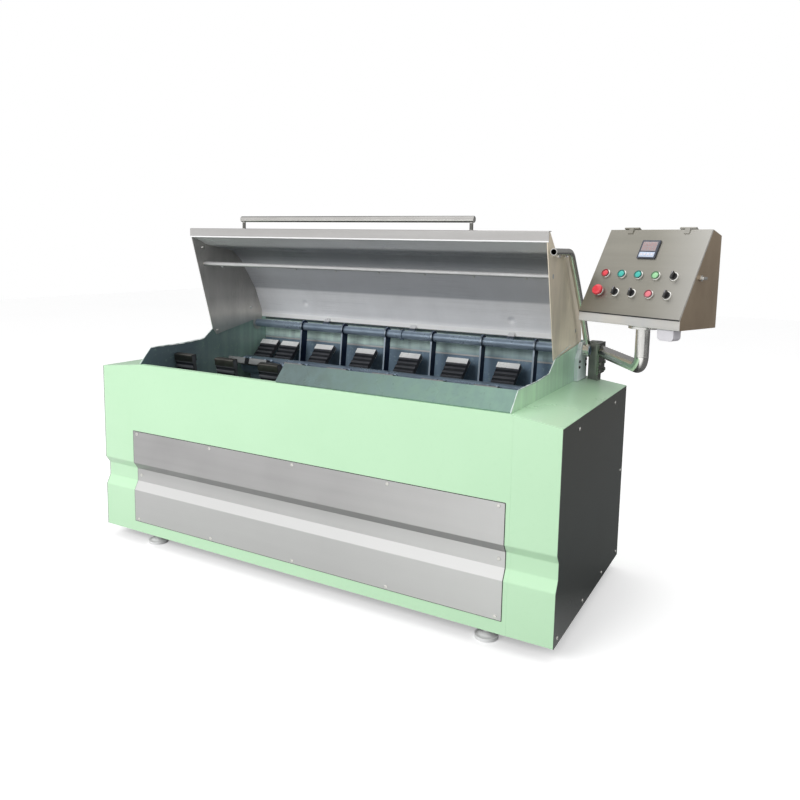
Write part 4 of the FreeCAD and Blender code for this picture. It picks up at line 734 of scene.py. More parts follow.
def carried_section(section: np.ndarray, length: float, rounding: float, steps: int = 3) -> Shape:
    """A closed section (y, z) carried along X, its ends rounded off and closed at their middle.

    The section shrinks towards its middle by rounding times one minus the cosine of the angle while
    X moves out by rounding times its sine, and then shrinks to a point in the end plane.

    Returns:
        Points and quads.
    """
    middle = section.mean(0)
    reach = np.abs(section - middle).max(0)
    angle = np.linspace(0.0, math.pi / 2, steps + 1)
    end_x = np.append(length / 2 - rounding + rounding * np.sin(angle), length / 2)
    shrink = rounding * (1 - np.cos(angle))
    end_scale = np.concatenate([1 - shrink[:, None] / reach[None, :], np.zeros((1, 2))])
    x = np.concatenate([-end_x[::-1], end_x])
    scale = np.concatenate([end_scale[::-1], end_scale])
    ring = middle + (section - middle)[None, :, :] * scale[:, None, :]
    points = np.concatenate([np.repeat(x[:, None, None], len(section), 1), ring], 2)
    return points.reshape(-1, 3), grid_faces(len(x), len(section), True)


def rounded_block(size: Triple, radius: float) -> Shape:
    """Box with rounded edges, centred on the origin.

    Each point of a gridded cube is held inside the box shrunk by the radius, and then pushed out by
    the radius along the way it was held.

    Returns:
        Points and quads.
    """
    half = np.array(size) / 2
    bend = radius * np.tan(np.radians([0.0, 22.5, 45.0]))
    points, faces = [], []
    for axis in range(3):
        u, v = (axis + 1) % 3, (axis + 2) % 3
        ticks = [np.concatenate([radius - half[k] - bend[::-1], half[k] - radius + bend]) for k in (u, v)]
        grid_u, grid_v = np.meshgrid(*ticks, indexing="ij")
        for side in (-1, 1):
            block = np.zeros((*grid_u.shape, 3))
            block[..., u], block[..., v], block[..., axis] = grid_u, grid_v, side * half[axis]
            quads = grid_faces(*grid_u.shape, False)
            faces.append((quads if side > 0 else quads[:, ::-1]) + sum(len(p) for p in points))
            points.append(block.reshape(-1, 3))
    cloud = np.concatenate(points)
    held = np.clip(cloud, -(half - radius), half - radius)
    out = cloud - held
    return held + radius * out / np.linalg.norm(out, axis=1, keepdims=True), np.concatenate(faces)


def joined(parts: list[Shape]) -> Shape:
    """Several shapes as one."""
    points, faces, start = [], [], 0
    for cloud, quads in parts:
        points.append(cloud)
        faces += (np.asarray(quads) + start).tolist()
        start += len(cloud)
    return np.concatenate(points), faces


def softened(node: str, width: float, segments: int = 2, angle: float = 35.0) -> Piece:
    """A copy of a CAD node with its doubles merged and its sharp edges rounded by a bevel.

    Args:
        node: the CAD node, which the copy replaces.
        width: the bevel's width in metres.
        segments: how many faces the bevel gets.
        angle: the sharpest fold in degrees that stays as it is.
    Returns:
        The copy, at the origin, riding on the node's body.
    """
    original = frame["nodes"][node]
    mesh = original.data.copy()
    mesh.materials.clear()
    shaped = bmesh.new()
    shaped.from_mesh(mesh)
    bmesh.ops.remove_doubles(shaped, verts=shaped.verts, dist=1e-6)
    bmesh.ops.dissolve_limit(shaped, angle_limit=math.radians(0.5), verts=shaped.verts, edges=shaped.edges)
    shaped.to_mesh(mesh)
    shaped.free()
    mesh.shade_smooth()
    piece = bpy.data.objects.new(node + "_finished", mesh)
    bpy.context.scene.collection.objects.link(piece)
    bevel = piece.modifiers.new("rounded_edges", "BEVEL")
    bevel.width = width
    bevel.segments = segments
    bevel.limit_method = "ANGLE"
    bevel.angle_limit = math.radians(angle)
    bevel.use_clamp_overlap = True
    evened = piece.modifiers.new("even_shading", "WEIGHTED_NORMAL")
    evened.weight = 100
    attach(piece, original["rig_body"])
    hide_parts(node)
    return piece


# Sub-assemblies

SLOTS = {entry["node"]: entry["material_slot"] for entry in frame["record"]["subparts"]}


def dress(piece: Piece, key: str) -> None:
    """Gives a piece one finish."""
    piece.data.materials.clear()
    piece.data.materials.append(finish(key))


def fitted(piece: Piece, body: str, key: str, slot: str, *nodes: str) -> Piece:
    """Rides a new piece on a body, dresses it, and hides the CAD nodes that it stands for.

    Args:
        piece: the new piece.
        body: the body that carries it.
        key: its finish.
        slot: the record's slot; not used.
        nodes: the CAD nodes that it replaces.
    Returns:
        The same piece.
    """
    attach(piece, body)
    if nodes:
        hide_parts(*nodes)
    dress(piece, key)
    return piece


@dataclass
class MadeParts:
    """Plates, tubes and castings that keep their CAD shape and get broken edges."""

    sheet_edge: float = 0.0006
    sheets: tuple[tuple[str, str], ...] = (
        ("front_surround", "green_paint"), ("left_corner_panel", "green_paint"),
        ("right_corner_panel", "green_paint"), ("service_panel", "service_sheet"),
        ("left_side_panel", "dark_paint"), ("right_side_panel", "dark_paint"), ("back_panel", "green_paint"),
        ("end_decks", "deck_paint"), ("left_trough_wall", "left_wall_paint"),
        ("right_trough_wall", "right_wall_paint"), ("front_apron", "apron_paint"),
        ("hair_chute", "brushed_stainless"), ("hood_left_plate", "left_plate_sheet"),
        ("hood_right_plate", "right_plate_sheet"), ("hood_front_rail", "brushed_stainless"),
        ("hood_bearings", "bracket_paint"), ("arm_bracket", "arm_bracket_steel"),
        ("console_body", "console_box"), ("console_lid", "console_stainless"), ("comb_ribs", "rib_steel"),
    )
    round_edge: float = 0.0010
    rounds: tuple[tuple[str, str], ...] = (
        ("arm_pipe", "console_pipe"), ("hood_arm_tube", "bright_tube"), ("hood_handle", "handle_tube"),
        ("hood_shaft", "shaft_steel"), ("spray_pipe", "satin_tube"), ("levelling_feet", "foot_plastic"),
        ("cable_entry", "pale_plastic"), ("lid_catch", "zinc_hardware"),
        ("console_hinges", "console_stainless"), ("swivel_collar", "bright_tube"),
        ("drum_bearings", "cast_housing"), ("gearmotor", "motor_paint"),
        ("front_drum", "blue_grey_steel"), ("rear_drum", "blue_grey_steel"),
    )

    def build(self) -> list[Piece]:
        """Rounds and dresses every part."""
        made = []
        for edge, parts in ((self.sheet_edge, self.sheets), (self.round_edge, self.rounds)):
            for node, key in parts:
                piece = softened(node, edge)
                dress(piece, key)
                made.append(piece)
        return made


def loop_faces(rings: int, line: int) -> np.ndarray:
    """Quads of a loop that runs out along a line and back, carried over rings and closed at both ends.

    Args:
        rings: how many loops.
        line: points in the line, so that a loop has twice as many.
    Returns:
        (quads, 4) point indices.
    """
    count, i = 2 * line, np.arange(line - 1)
    cap = np.stack([i, i + 1, count - 2 - i, count - 1 - i], 1)
    return np.concatenate([grid_faces(rings, count, True), cap, cap + (rings - 1) * count])


def strip_section(outer: np.ndarray, inner: np.ndarray, x0: float, x1: float) -> Shape:
    """Bent strip along X between two lines of (y, z) with the same number of points.

    Returns:
        Points and quads.
    """
    loop = np.concatenate([outer, inner[::-1]])
    ends = [np.column_stack([np.full(len(loop), x), loop]) for x in (x0, x1)]
    return np.concatenate(ends), loop_faces(2, len(outer))


def rounded_line(corners: list[tuple[float, float]], radii: list[float], steps: int = 4) -> np.ndarray:
    """Line of (y, z) points through corners, each inner corner replaced by an arc of its radius.

    Each arc touches both runs: it starts radius times the tangent of half the turn before the corner.

    Returns:
        (n, 2) points.
    """
    line = [np.array(corners[0], float)]
    for before, corner, after, radius in zip(corners, corners[1:], corners[2:], radii):
        a, b, c = (np.array(p, float) for p in (before, corner, after))
        into, out = (b - a) / np.linalg.norm(b - a), (c - b) / np.linalg.norm(c - b)
        turn = math.atan2(into[0] * out[1] - into[1] * out[0], float(into @ out))
        reach = radius * math.tan(abs(turn) / 2)
        normal = np.array([-into[1], into[0]]) * math.copysign(1.0, turn)
        centre = b - into * reach + normal * radius
        angle = np.linspace(0.0, turn, steps + 1)
        arm = -normal * radius
        line += [centre + np.array([arm[0] * math.cos(t) - arm[1] * math.sin(t),
                                    arm[0] * math.sin(t) + arm[1] * math.cos(t)]) for t in angle]
    line.append(np.array(corners[-1], float))
    return np.array(line)


def sheet_skin(line: np.ndarray, x: np.ndarray, thickness: float, lift: np.ndarray) -> Shape:
    """Bent sheet along X with an uneven skin.

    Both skins are the line of (y, z) points moved along its normal by plus or minus half the
    thickness; the normal is the line's way turned a quarter turn. The lift, one value for each x and
    each point of the line, moves both skins together.

    Returns:
        Points and quads.
    """
    ahead = np.gradient(line, axis=0)
    ahead /= np.linalg.norm(ahead, axis=1, keepdims=True)
    normal = np.column_stack([-ahead[:, 1], ahead[:, 0]])
    skins = [line[None] + normal[None] * (lift[..., None] + side * thickness) for side in (0.5, -0.5)]
    ring = np.concatenate([skins[0], skins[1][:, ::-1]], 1)
    points = np.concatenate([np.repeat(x[:, None, None], ring.shape[1], 1), ring], 2)
    return points.reshape(-1, 3), loop_faces(len(x), len(line))


def evenly(line: np.ndarray, count: int) -> np.ndarray:
    """A line of (y, z) points laid out again at equal steps of its length."""
    run = np.append(0.0, np.cumsum(np.linalg.norm(np.diff(line, axis=0), axis=1)))
    steps = np.linspace(0.0, run[-1], count)
    return np.column_stack([np.interp(steps, run, line[:, k]) for k in (0, 1)])


def flat_strip(line: list[tuple[float, float]], x0: float, x1: float, thickness: float) -> Shape:
    """Narrow plain strip along X, on a line of (y, z) points."""
    return sheet_skin(evenly(np.array(line), 4), np.array([x0, x1]), thickness, np.zeros((2, 4)))


def aimed(shape: Shape, place: Triple, way: Triple) -> Shape:
    """A shape drawn about Z, turned to point along way and moved to its place."""
    points, faces = shape
    turn = np.array(Vector((0.0, 0.0, 1.0)).rotation_difference(Vector(way)).to_matrix())
    return points @ turn.T + np.array(place), faces


def bead_ring(radius: float, bead: float) -> Shape:
    """Weld bead round a tube: a small circle about the tube's skin, turned about Z.

    The bead's radius swells and shrinks by a tenth, thirty times in the turn, as laid weld does.
    """
    across = np.linspace(0.0, 2 * math.pi, 9)
    points, faces = turned_profile([(radius + bead * math.cos(a), bead * math.sin(a)) for a in across], 90)
    angle = np.arctan2(points[:, 1], points[:, 0])
    away = np.hypot(points[:, 0], points[:, 1])
    swollen = radius + (away - radius) * (1.0 + 0.1 * np.cos(30.0 * angle))
    points[:, :2] *= (swollen / away)[:, None]
    return points, faces


def tube_along(path: np.ndarray, radius: float | np.ndarray, sides: int) -> Shape:
    """Round cord along a path of 3-D points, its ends drawn to a point.

    Each ring stands square to the path, its first arm carried from ring to ring with the least turn.

    Args:
        path: (n, 3) places in metres.
        radius: one radius, or one for each place.
        sides: points round each ring.
    Returns:
        Points and quads.
    """
    ahead = np.gradient(path, axis=0)
    ahead /= np.linalg.norm(ahead, axis=1, keepdims=True)
    arm = np.cross(ahead[0], (0.0, 0.0, 1.0) if abs(ahead[0][2]) < 0.9 else (1.0, 0.0, 0.0))
    arms = []
    for way in ahead:
        arm = arm - way * float(arm @ way)
        arm = arm / np.linalg.norm(arm)
        arms.append(arm)
    arms = np.array(arms)
    side = np.cross(ahead, arms)
    angle = np.linspace(0.0, 2 * math.pi, sides, endpoint=False)
    ring = arms[:, None, :] * np.cos(angle)[None, :, None] + side[:, None, :] * np.sin(angle)[None, :, None]
    points = path[:, None, :] + ring * np.broadcast_to(radius, len(path))[:, None, None]
    first, last = (np.repeat(path[i][None, None, :], sides, 1) for i in (0, -1))
    points = np.concatenate([first, points, last])
    return points.reshape(-1, 3), grid_faces(len(points), sides, True)


@dataclass
class PaddleDrum:
    """One drum's moulded rubber paddles and the steel claws over their tips."""

    name: str
    joint: str
    first_row: float
    stations: tuple[float, ...]
    claw_finish: str = "claw_steel"
    rows: int = 3
    root: float = 0.0455
    tip: float = 0.157
    half_thickness: float = 0.012
    width: float = 0.103
    claw_low: float = 0.130
    claw_sheet: float = 0.003
    shoulder: float = 0.0045
    inner_shoulder: float = 0.0018
    end_rounding: float = 0.0018
    ridge_depth: float = 0.0060
    ridges: int = 3

    def spread(self, shape: Shape) -> Shape:
        """Copies of an upright piece at every station and row: turned about X, then moved.

        Args:
            shape: points and faces of the piece, standing on the drum's axis.
        Returns:
            Points and faces of all copies.
        """
        points, faces = shape
        axis = joint_place(self.joint)
        copies = []
        for row in range(self.rows):
            angle = math.radians(self.first_row + 360.0 * row / self.rows)
            c, s = math.cos(angle), math.sin(angle)
            y = points[:, 1] * c + points[:, 2] * s + axis[1]
            z = -points[:, 1] * s + points[:, 2] * c + axis[2]
            across = (points[:, 0] + CORNER.x + station * MM for station in self.stations)
            copies += [(np.column_stack([x, y, z]), faces) for x in across]
        return joined(copies)

    def working_face(self) -> tuple[np.ndarray, np.ndarray]:
        """Heights up a paddle's working face, and its steps in: a rounded square wave from 0 to 1."""
        low, high = self.root + 0.010, self.claw_low - 0.002
        height = np.linspace(self.root + 0.002, high, 40)
        phase = (height - low) / (high - low) * self.ridges
        swing = np.tanh(3.5 * np.cos(2 * math.pi * phase)) * np.where(height < low, 0.0, 1.0)
        return height, 0.5 - 0.5 * swing

    def rubber(self) -> tuple[np.ndarray, np.ndarray]:
        """Rubber block whose working face steps in and out along its height.

        Returns:
            The (y, z) section, and how deep in a groove each of its points lies.
        """
        height, wave = self.working_face()
        front = np.column_stack([-self.half_thickness + self.ridge_depth * wave, height])
        edge, high = 0.002, height[-1]
        rest = rounded_line([(-self.half_thickness + 0.0005, high), (-self.half_thickness + 0.0005, self.tip),
                             (self.half_thickness, self.tip), (self.half_thickness, self.root),
                             (-self.half_thickness + self.ridge_depth, self.root)], [edge] * 3)
        return np.concatenate([front, rest]), np.append(wave, np.zeros(len(rest)))

    def claw(self) -> Shape:
        """Folded cap: an upside-down U with rounded shoulders around the rubber's tip."""
        half, top = self.half_thickness + self.claw_sheet, self.tip + self.claw_sheet
        inner_half = self.half_thickness + 0.0002
        outer = rounded_line([(-half, self.claw_low), (-half, top), (half, top), (half, self.claw_low)],
                             [self.shoulder] * 2)
        inner = rounded_line([(-inner_half, self.claw_low), (-inner_half, self.tip + 0.0002),
                              (inner_half, self.tip + 0.0002), (inner_half, self.claw_low)],
                             [self.inner_shoulder] * 2)
        return strip_section(outer, inner, -self.width / 2, self.width / 2)

    def build(self) -> list[Piece]:
        """Builds the paddles and the claws over their CAD nodes."""
        made = []
        section, groove = self.rubber()
        blocks = self.spread(carried_section(section, self.width, self.end_rounding))
        marked = np.resize(groove, len(blocks[0]))
        for part, shape, key, marks in (("paddles", blocks, "paddle_rubber", marked),
                                        ("claws", self.spread(self.claw()), self.claw_finish, None)):
            node = f"{self.name}_{part}"
            piece = make_piece(node + "_moulded", *shape, groove=marks)
            made.append(fitted(piece, f"{self.name}_roller", key, SLOTS[node], node))
        return made


@dataclass
class HoodSkin:
    """The hood's bent sheet with soft folds, shallow dents, and a hem along its lower edge whose near-white
    finish is a painted highlight.
    """

    corners: tuple[tuple[float, float], ...] = (
        (-450.0, 431.0), (-352.0, 394.0), (-189.0, 372.0), (-124.0, 323.0), (-19.0, 181.0), (32.0, 66.0),
        (34.5, 49.0),
    )
    radii: tuple[float, ...] = (0.014, 0.040, 0.030, 0.016, 0.008)
    thickness: float = 0.0025
    columns: int = 140
    rows: int = 130
    wave: float = 0.0005
    dents: tuple[tuple[float, float, float, float], ...] = (
        (529.0, 0.895, -0.0060, 0.013), (1611.0, 0.925, -0.0065, 0.014), (1585.0, 0.87, 0.0012, 0.035),
        (760.0, 0.68, 0.0010, 0.040), (1180.0, 0.84, 0.0010, 0.035),
    )
    hem: tuple[tuple[float, float], ...] = ((34.3, 52.0), (35.2, 42.0), (36.0, 31.0))
    hem_thickness: float = 0.0012
    lip_thickness: float = 0.0006

    def line(self) -> np.ndarray:
        """Middle line (y, z) of the sheet, from the front rail to the lower edge."""
        corners = [(HOOD[1] + y * MM, HOOD[2] + z * MM) for y, z in self.corners]
        return evenly(rounded_line(corners, list(self.radii), 6), self.rows)

    def lift(self, x: np.ndarray) -> np.ndarray:
        """Unevenness: two crossed slow waves, and round dents that fall off as a bell curve."""
        along = np.linspace(0.0, 1.0, self.rows)[None, :]
        wide = (x[:, None] - CORNER.x) / MM
        waves = self.wave * (np.sin(wide / 97.0 + 5.0 * along) * np.sin(9.0 * along + wide / 310.0))
        height = np.linalg.norm(np.diff(self.line(), axis=0), axis=1).sum()
        for place, share, depth, reach in self.dents:
            away = ((wide - place) * MM) ** 2 + ((along - share) * height) ** 2
            waves = waves - depth * np.exp(-away / reach ** 2)
        return waves * np.clip(np.minimum(along, 1.0 - along) * 12.0, 0.0, 1.0)

    def build(self) -> list[Piece]:
        """Builds the sheet, its hem, and the rail's lower lip, a near-white strip that paints a highlight
        along the rail's lower edge.
        """
        low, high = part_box("hood_shell")
        # Extra columns, 4 mm apart, carry the two small deep dents.
        near = np.arange(-40.0, 41.0, 4.0)
        fine = np.concatenate([CORNER.x + (dent[0] + near) * MM for dent in self.dents[:2]])
        x = np.unique(np.concatenate([np.linspace(low.x, high.x, self.columns), fine]))
        skin = make_piece("hood_shell_skin", *sheet_skin(self.line(), x, self.thickness, self.lift(x)))
        made = [fitted(skin, "hood", "hood_sheet", SLOTS["hood_shell"], "hood_shell")]
        inset = (self.thickness + self.hem_thickness) / 2 + 0.0002
        hem = [(HOOD[1] + y * MM - inset, HOOD[2] + z * MM) for y, z in self.hem]
        shape = flat_strip(hem, low.x, high.x, self.hem_thickness)
        made.append(fitted(make_piece("hood_lower_hem", *shape), "hood", "hood_hem", SLOTS["hood_shell"]))
        low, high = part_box("hood_front_rail")
        lip = [(low.y - 0.0002, low.z + height) for height in (0.0002, 0.0052)]
        shape = flat_strip(lip, low.x, high.x, self.lip_thickness)
        made.append(fitted(make_piece("hood_rail_lip", *shape), "hood", "hood_hem", SLOTS["hood_front_rail"]))
        return made


@dataclass
class TroughTrim:
    """Rear liner with its seam, sealant on the end walls' edges, and a dark bead round the service panel that
    paints the shadow in its gap.
    """

    thickness: float = 0.0020
    columns: int = 120
    rows: int = 60
    seam_height: float = 848.0
    seam_half_width: float = 0.0035
    seam_thickness: float = 0.0012
    seam_stand: float = 0.0008
    sealant_inset: float = 0.0010
    cord_radius: float = 0.0013
    cord_stand: float = 0.0007
    panel_fold: tuple[tuple[float, float], ...] = ((0.0, 242.0), (20.0, 280.0), (20.0, 337.0), (0.0, 367.0))
    wall_edge: tuple[tuple[float, float], ...] = (
        (4.0, 806.5), (66.0, 872.0), (265.0, 873.0), (385.0, 880.5), (450.0, 927.0), (640.0, 958.0),
    )

    def liner(self) -> Piece:
        """Rear liner: an upright sheet folded back at its top, with slow waves between the ribs."""
        low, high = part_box("rear_liner")
        half = self.thickness / 2
        corners = [(low.y + half, low.z), (low.y + half, high.z - half), (high.y, high.z - half)]
        line = evenly(rounded_line(corners, [0.006], 6), self.rows)
        x = np.linspace(low.x, high.x, self.columns)
        along = np.linspace(0.0, 1.0, self.rows)[None, :]
        wide = (x[:, None] - low.x) / (high.x - low.x)
        calm = np.clip(6.0 - 7.0 * along, 0.0, 1.0)
        lift = 0.0006 * np.sin(41.0 * wide + 3.0 * along) * np.sin(7.0 * along) * calm
        lift = np.minimum(lift, 0.0)
        piece = make_piece("rear_liner_skin", *sheet_skin(line, x, self.thickness, lift))
        return fitted(piece, "cabinet", "liner_paint", SLOTS["rear_liner"], "rear_liner")

    def seam(self) -> Piece:
        """Lapped seam across the liner: a thin strip that stands off the sheet."""
        low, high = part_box("rear_liner")
        middle, wide = self.seam_height * MM, self.seam_half_width
        strip = [(low.y - self.seam_stand, z) for z in (middle - wide, middle + wide)]
        piece = make_piece("liner_seam", *flat_strip(strip, low.x, high.x, self.seam_thickness))
        return fitted(piece, "cabinet", "satin_tube", SLOTS["rear_liner"])

    def sealant(self) -> Piece:
        """Hand-laid sealant on both walls' front edges: a tube whose radius swells and shrinks."""
        edge = np.array(self.wall_edge)
        run = np.append(0.0, np.cumsum(np.linalg.norm(np.diff(edge, axis=0), axis=1)))
        steps = np.linspace(0.0, run[-1], 180)
        y, z = (np.interp(steps, run, edge[:, k]) for k in (0, 1))
        radius = 0.0016 + 0.0005 * np.sin(steps / 9.0) + 0.0004 * np.sin(steps / 23.0 + 1.0)
        beads = []
        for node, inner, way in (("left_trough_wall", 1, -1), ("right_trough_wall", 0, 1)):
            x = np.full_like(y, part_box(node)[inner].x) + way * self.sealant_inset
            path = np.column_stack([x, CORNER.y + y * MM, z * MM])
            beads.append(tube_along(path, radius, 10))
        piece = make_piece("wall_sealant", *joined(beads))
        return fitted(piece, "cabinet", "sealant", SLOTS["left_trough_wall"])

    def panel_shadow_bead(self) -> Piece:
        """Thin dark bead round the service panel, a painted shadow for its gap: round cords along its four
        edges.
        """
        low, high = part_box("service_panel")
        x0, x1, z0, z1 = low.x - 0.001, high.x + 0.001, low.z - 0.001, high.z + 0.001
        side = np.array([(0.0, z0 / MM), *self.panel_fold, (0.0, z1 / MM)])
        front = CORNER.y - self.cord_stand
        paths = [np.column_stack([np.full(len(side), x), front + side[:, 0] * MM, side[:, 1] * MM])
                 for x in (x0, x1)]
        paths += [np.array([(x, front, z) for x in np.linspace(x0, x1, 40)]) for z in (z0, z1)]
        cords = [tube_along(path, self.cord_radius, 8) for path in paths]
        piece = make_piece("service_panel_shadow_bead", *joined(cords))
        return fitted(piece, "cabinet", "shadow_gap_rubber", SLOTS["service_panel"])

    def build(self) -> list[Piece]:
        """Builds the liner, its seam, the walls' sealant and the service panel's painted shadow bead."""
        return [self.liner(), self.seam(), self.sealant(), self.panel_shadow_bead()]


@dataclass
class TubeWork:
    """Weld beads on the handle's posts, the water pipe's ends and the console's pipe."""

    bead: float = 0.0016
    bar_radius: float = 0.0125
    post_radius: float = 0.007
    water_radius: float = 0.009
    water_inset: float = 0.004
    pipe_radius: float = 0.0242
    flange_depth: float = 0.0082
    lower_ring: float = 963.0
    lower_bead: float = 0.0009

    def rings(self) -> dict[str, tuple[str, list[Shape]]]:
        """Beads by piece name: their body and their shapes."""
        low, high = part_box("hood_handle")
        middle, rail_top = (low.y + high.y) / 2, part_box("hood_front_rail")[1].z
        posts = [aimed(bead_ring(self.post_radius, self.bead), (x, middle, rail_top), (0, 0, 1))
                 for x in (low.x + self.bar_radius, high.x - self.bar_radius)]
        low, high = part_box("spray_pipe")
        radius = self.water_radius
        ends = [aimed(bead_ring(radius, self.bead), (x, low.y + radius, high.z - radius), (1, 0, 0))
                for x in (low.x + self.water_inset, high.x - self.water_inset)]
        x, y, ring_height = drawn(*SWIVEL, self.lower_ring)
        under_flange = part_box("arm_pipe")[1].z - self.flange_depth
        flange = [aimed(bead_ring(self.pipe_radius, bead), (x, y, z), (0, 0, 1))
                  for bead, z in ((self.bead, under_flange), (self.lower_bead, ring_height))]
        return {"handle_welds": ("hood", posts), "water_pipe_welds": ("hood", ends),
                "console_pipe_welds": ("cabinet", flange)}

    def build(self) -> list[Piece]:
        """Builds every bead."""
        return [fitted(make_piece(name, *joined(shapes)), body, "bright_tube", SLOTS["arm_pipe"])
                for name, (body, shapes) in self.rings().items()]


@dataclass
class ConsoleFace:
    """Operators, rings and panel meter on the console's sloping door."""

    turn: float = -22.8
    lean: float = 29.5
    width: float = 0.400
    front: float = -0.102
    low: float = 1.111
    level: float = 0.0029
    pitch: float = 0.0675
    first: float = 0.054
    upper_row: float = 0.154
    lower_row: float = 0.083
    ring_radius: float = 0.0165
    hole_radius: float = 0.0128
    cap_radius: float = 0.0125
    lens_radius: float = 0.0105
    sleeve_radius: float = 0.0150
    meter_place: tuple[float, float] = (0.192, 0.254)
    meter_size: float = 0.072
    operators: tuple[tuple[str, str], ...] = (
        ("red_button", "lens"), ("first_teal_button", "lens"), ("second_teal_button", "lens"),
        ("green_button", "lens"), ("first_selector", "knob"), ("stop_button", "mushroom"),
        ("second_selector", "knob"), ("third_selector", "knob"), ("pink_button", "lens"),
        ("fourth_selector", "knob"),
    )

    def place(self, across: float, along: float) -> Matrix:
        """Frame at a point of the door's skin: X across, Y up the slope and Z outwards."""
        psi, tilt = math.radians(self.turn), math.radians(self.lean)
        wide = Vector((math.cos(psi), math.sin(psi), 0.0))
        deep = Vector((-math.sin(psi), math.cos(psi), 0.0))
        up = deep * math.sin(tilt) + Vector((0.0, 0.0, math.cos(tilt)))
        out = Vector((0.0, 0.0, math.sin(tilt))) - deep * math.cos(tilt)
        start = Vector(drawn(*SWIVEL, self.low / MM))
        spot = start + wide * (across - self.width / 2) + deep * self.front + up * along + out * self.level
        turn = Matrix((wide, up, out)).transposed()
        return Matrix.Translation(spot) @ turn.to_4x4()

    def spots(self) -> list[Matrix]:
        """Frames of the ten operators, upper row first."""
        across = [self.first + self.pitch * i for i in range(5)]
        return [self.place(x, row) for row in (self.upper_row, self.lower_row) for x in across]

    def set_on(self, shape: Shape, where: Matrix) -> Shape:
        """A piece drawn upright about Z, moved to a frame on the door."""
        points, faces = shape
        return points @ np.array(where.to_3x3()).T + np.array(where.translation), faces

    def ring(self) -> Shape:
        """Bezel: a closed ring whose outer shoulder slopes."""
        inner, outer = self.hole_radius, self.ring_radius
        profile = [(inner, 0.0), (outer, 0.0), (outer, 0.0022), (outer - 0.0006, 0.0030),
                   (inner + 0.0010, 0.0040), (inner + 0.0002, 0.0040), (inner, 0.0036), (inner, 0.0)]
        return turned_profile(profile, 40)

    def cap(self, kind: str) -> list[Shape]:
        """Shapes of an operator by its kind: lens, lens sleeve, mushroom, or knob with a finger bar."""
        r, centre = self.cap_radius, self.lens_radius
        if kind == "lens":
            profile = [(0.0, -0.010), (centre, -0.010), (centre, 0.0070), (0.80 * centre, 0.0080),
                       (0.5 * centre, 0.0086), (0.0, 0.0088)]
            return [turned_profile(profile, 36)]
        if kind == "sleeve":
            wide = self.sleeve_radius
            profile = [(centre + 0.0001, -0.012), (r, -0.012), (r, 0.0074), (wide - 0.0004, 0.0075),
                       (wide, 0.0079), (wide - 0.0004, 0.0085), (wide - 0.0016, 0.0090),
                       (centre + 0.0006, 0.0078), (centre + 0.0001, 0.0060), (centre + 0.0001, -0.012)]
            return [turned_profile(profile, 36)]
        if kind == "mushroom":
            profile = [(0.0, -0.012), (r, -0.012), (r, 0.0085), (0.0185, 0.0085), (0.0197, 0.0095),
                       (0.0200, 0.0115), (0.0197, 0.0150), (0.0180, 0.0182), (0.0145, 0.0199),
                       (0.0090, 0.0205), (0.0, 0.0205)]
            return [turned_profile(profile, 44)]
        profile = [(0.0, -0.012), (r, -0.012), (r, 0.0062), (r - 0.0006, 0.0070), (0.0, 0.0070)]
        points, faces = rounded_block((0.0070, 0.0260, 0.0130), 0.0015)
        return [turned_profile(profile, 36), (points + np.array([0.0, 0.0, 0.0135]), faces)]

    def build(self) -> list[Piece]:
        """Builds the rings, the caps and the panel meter."""
        made = []
        frames = self.spots()
        rings = make_piece("operator_bezels", *joined([self.set_on(self.ring(), m) for m in frames]))
        made.append(fitted(rings, "console_door", "zinc_hardware", "zinc_hardware", "operator_rings"))
        for (node, kind), where in zip(self.operators, frames):
            shape = joined([self.set_on(part, where) for part in self.cap(kind)])
            made.append(fitted(make_piece(node + "_cap", *shape), node, SLOTS[node], SLOTS[node], node))
            if kind == "knob":
                points, faces = rounded_block((0.0012, 0.0100, 0.0004), 0.00015)
                shape = self.set_on((points + np.array([0.0, 0.0070, 0.0201]), faces), where)
                piece = make_piece(node + "_pointer", *shape)
                made.append(fitted(piece, node, "pale_plastic", "pale_plastic"))
            if kind == "lens":
                shape = joined([self.set_on(part, where) for part in self.cap("sleeve")])
                piece = make_piece(node + "_sleeve", *shape)
                made.append(fitted(piece, node, SLOTS[node] + "_sleeve", SLOTS[node]))
        made.append(self.lid_shadow_bead())
        return made + self.meter()

    def meter(self) -> list[Piece]:
        """Panel meter: dark frame, grey window with two rows of figures, and a key strip."""
        where = self.place(*self.meter_place)
        size, height = self.meter_size, 0.006
        panes = (("meter_window", "meter_glass", 0.0105, 0.0580, 0.0360),
                 ("meter_key_strip", "meter_keys", -0.0215, 0.0600, 0.0190))
        points, faces = rounded_block((size, size, height), 0.0018)
        shape = self.set_on((points + np.array([0.0, 0.0, height / 2]), faces), where)
        frame_piece = make_piece("meter_frame", *shape)
        made = [(frame_piece, "display_plastic")]
        for name, key, y, wide, high in panes:
            points, faces = rounded_block((wide, high, 0.0008), 0.0003)
            shape = self.set_on((points + np.array([0.0, y, height + 0.0002]), faces), where)
            made.append((make_piece(name, *shape), key))
        figures = [self.figure(d, (-0.0210 + 0.0140 * i, y), scale) for y, scale, digits in
                   ((0.0190, 1.0, "0085"), (0.0030, 0.8, "0060")) for i, d in enumerate(digits)]
        shape = self.set_on(joined([part for group in figures for part in group]), where)
        made.append((make_piece("meter_figures", *shape), "lit_figures"))
        points, faces = rounded_block((0.0095, 0.0075, 0.0016), 0.0006)
        keys = [(points + np.array([-0.0205 + 0.0137 * i, -0.0215, height + 0.0010]), faces)
                for i in range(4)]
        made.append((make_piece("meter_keys", *self.set_on(joined(keys), where)), "pale_plastic"))
        for piece, key in made:
            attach(piece, "console_door")
            dress(piece, key)
        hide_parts("display")
        return [piece for piece, _ in made]

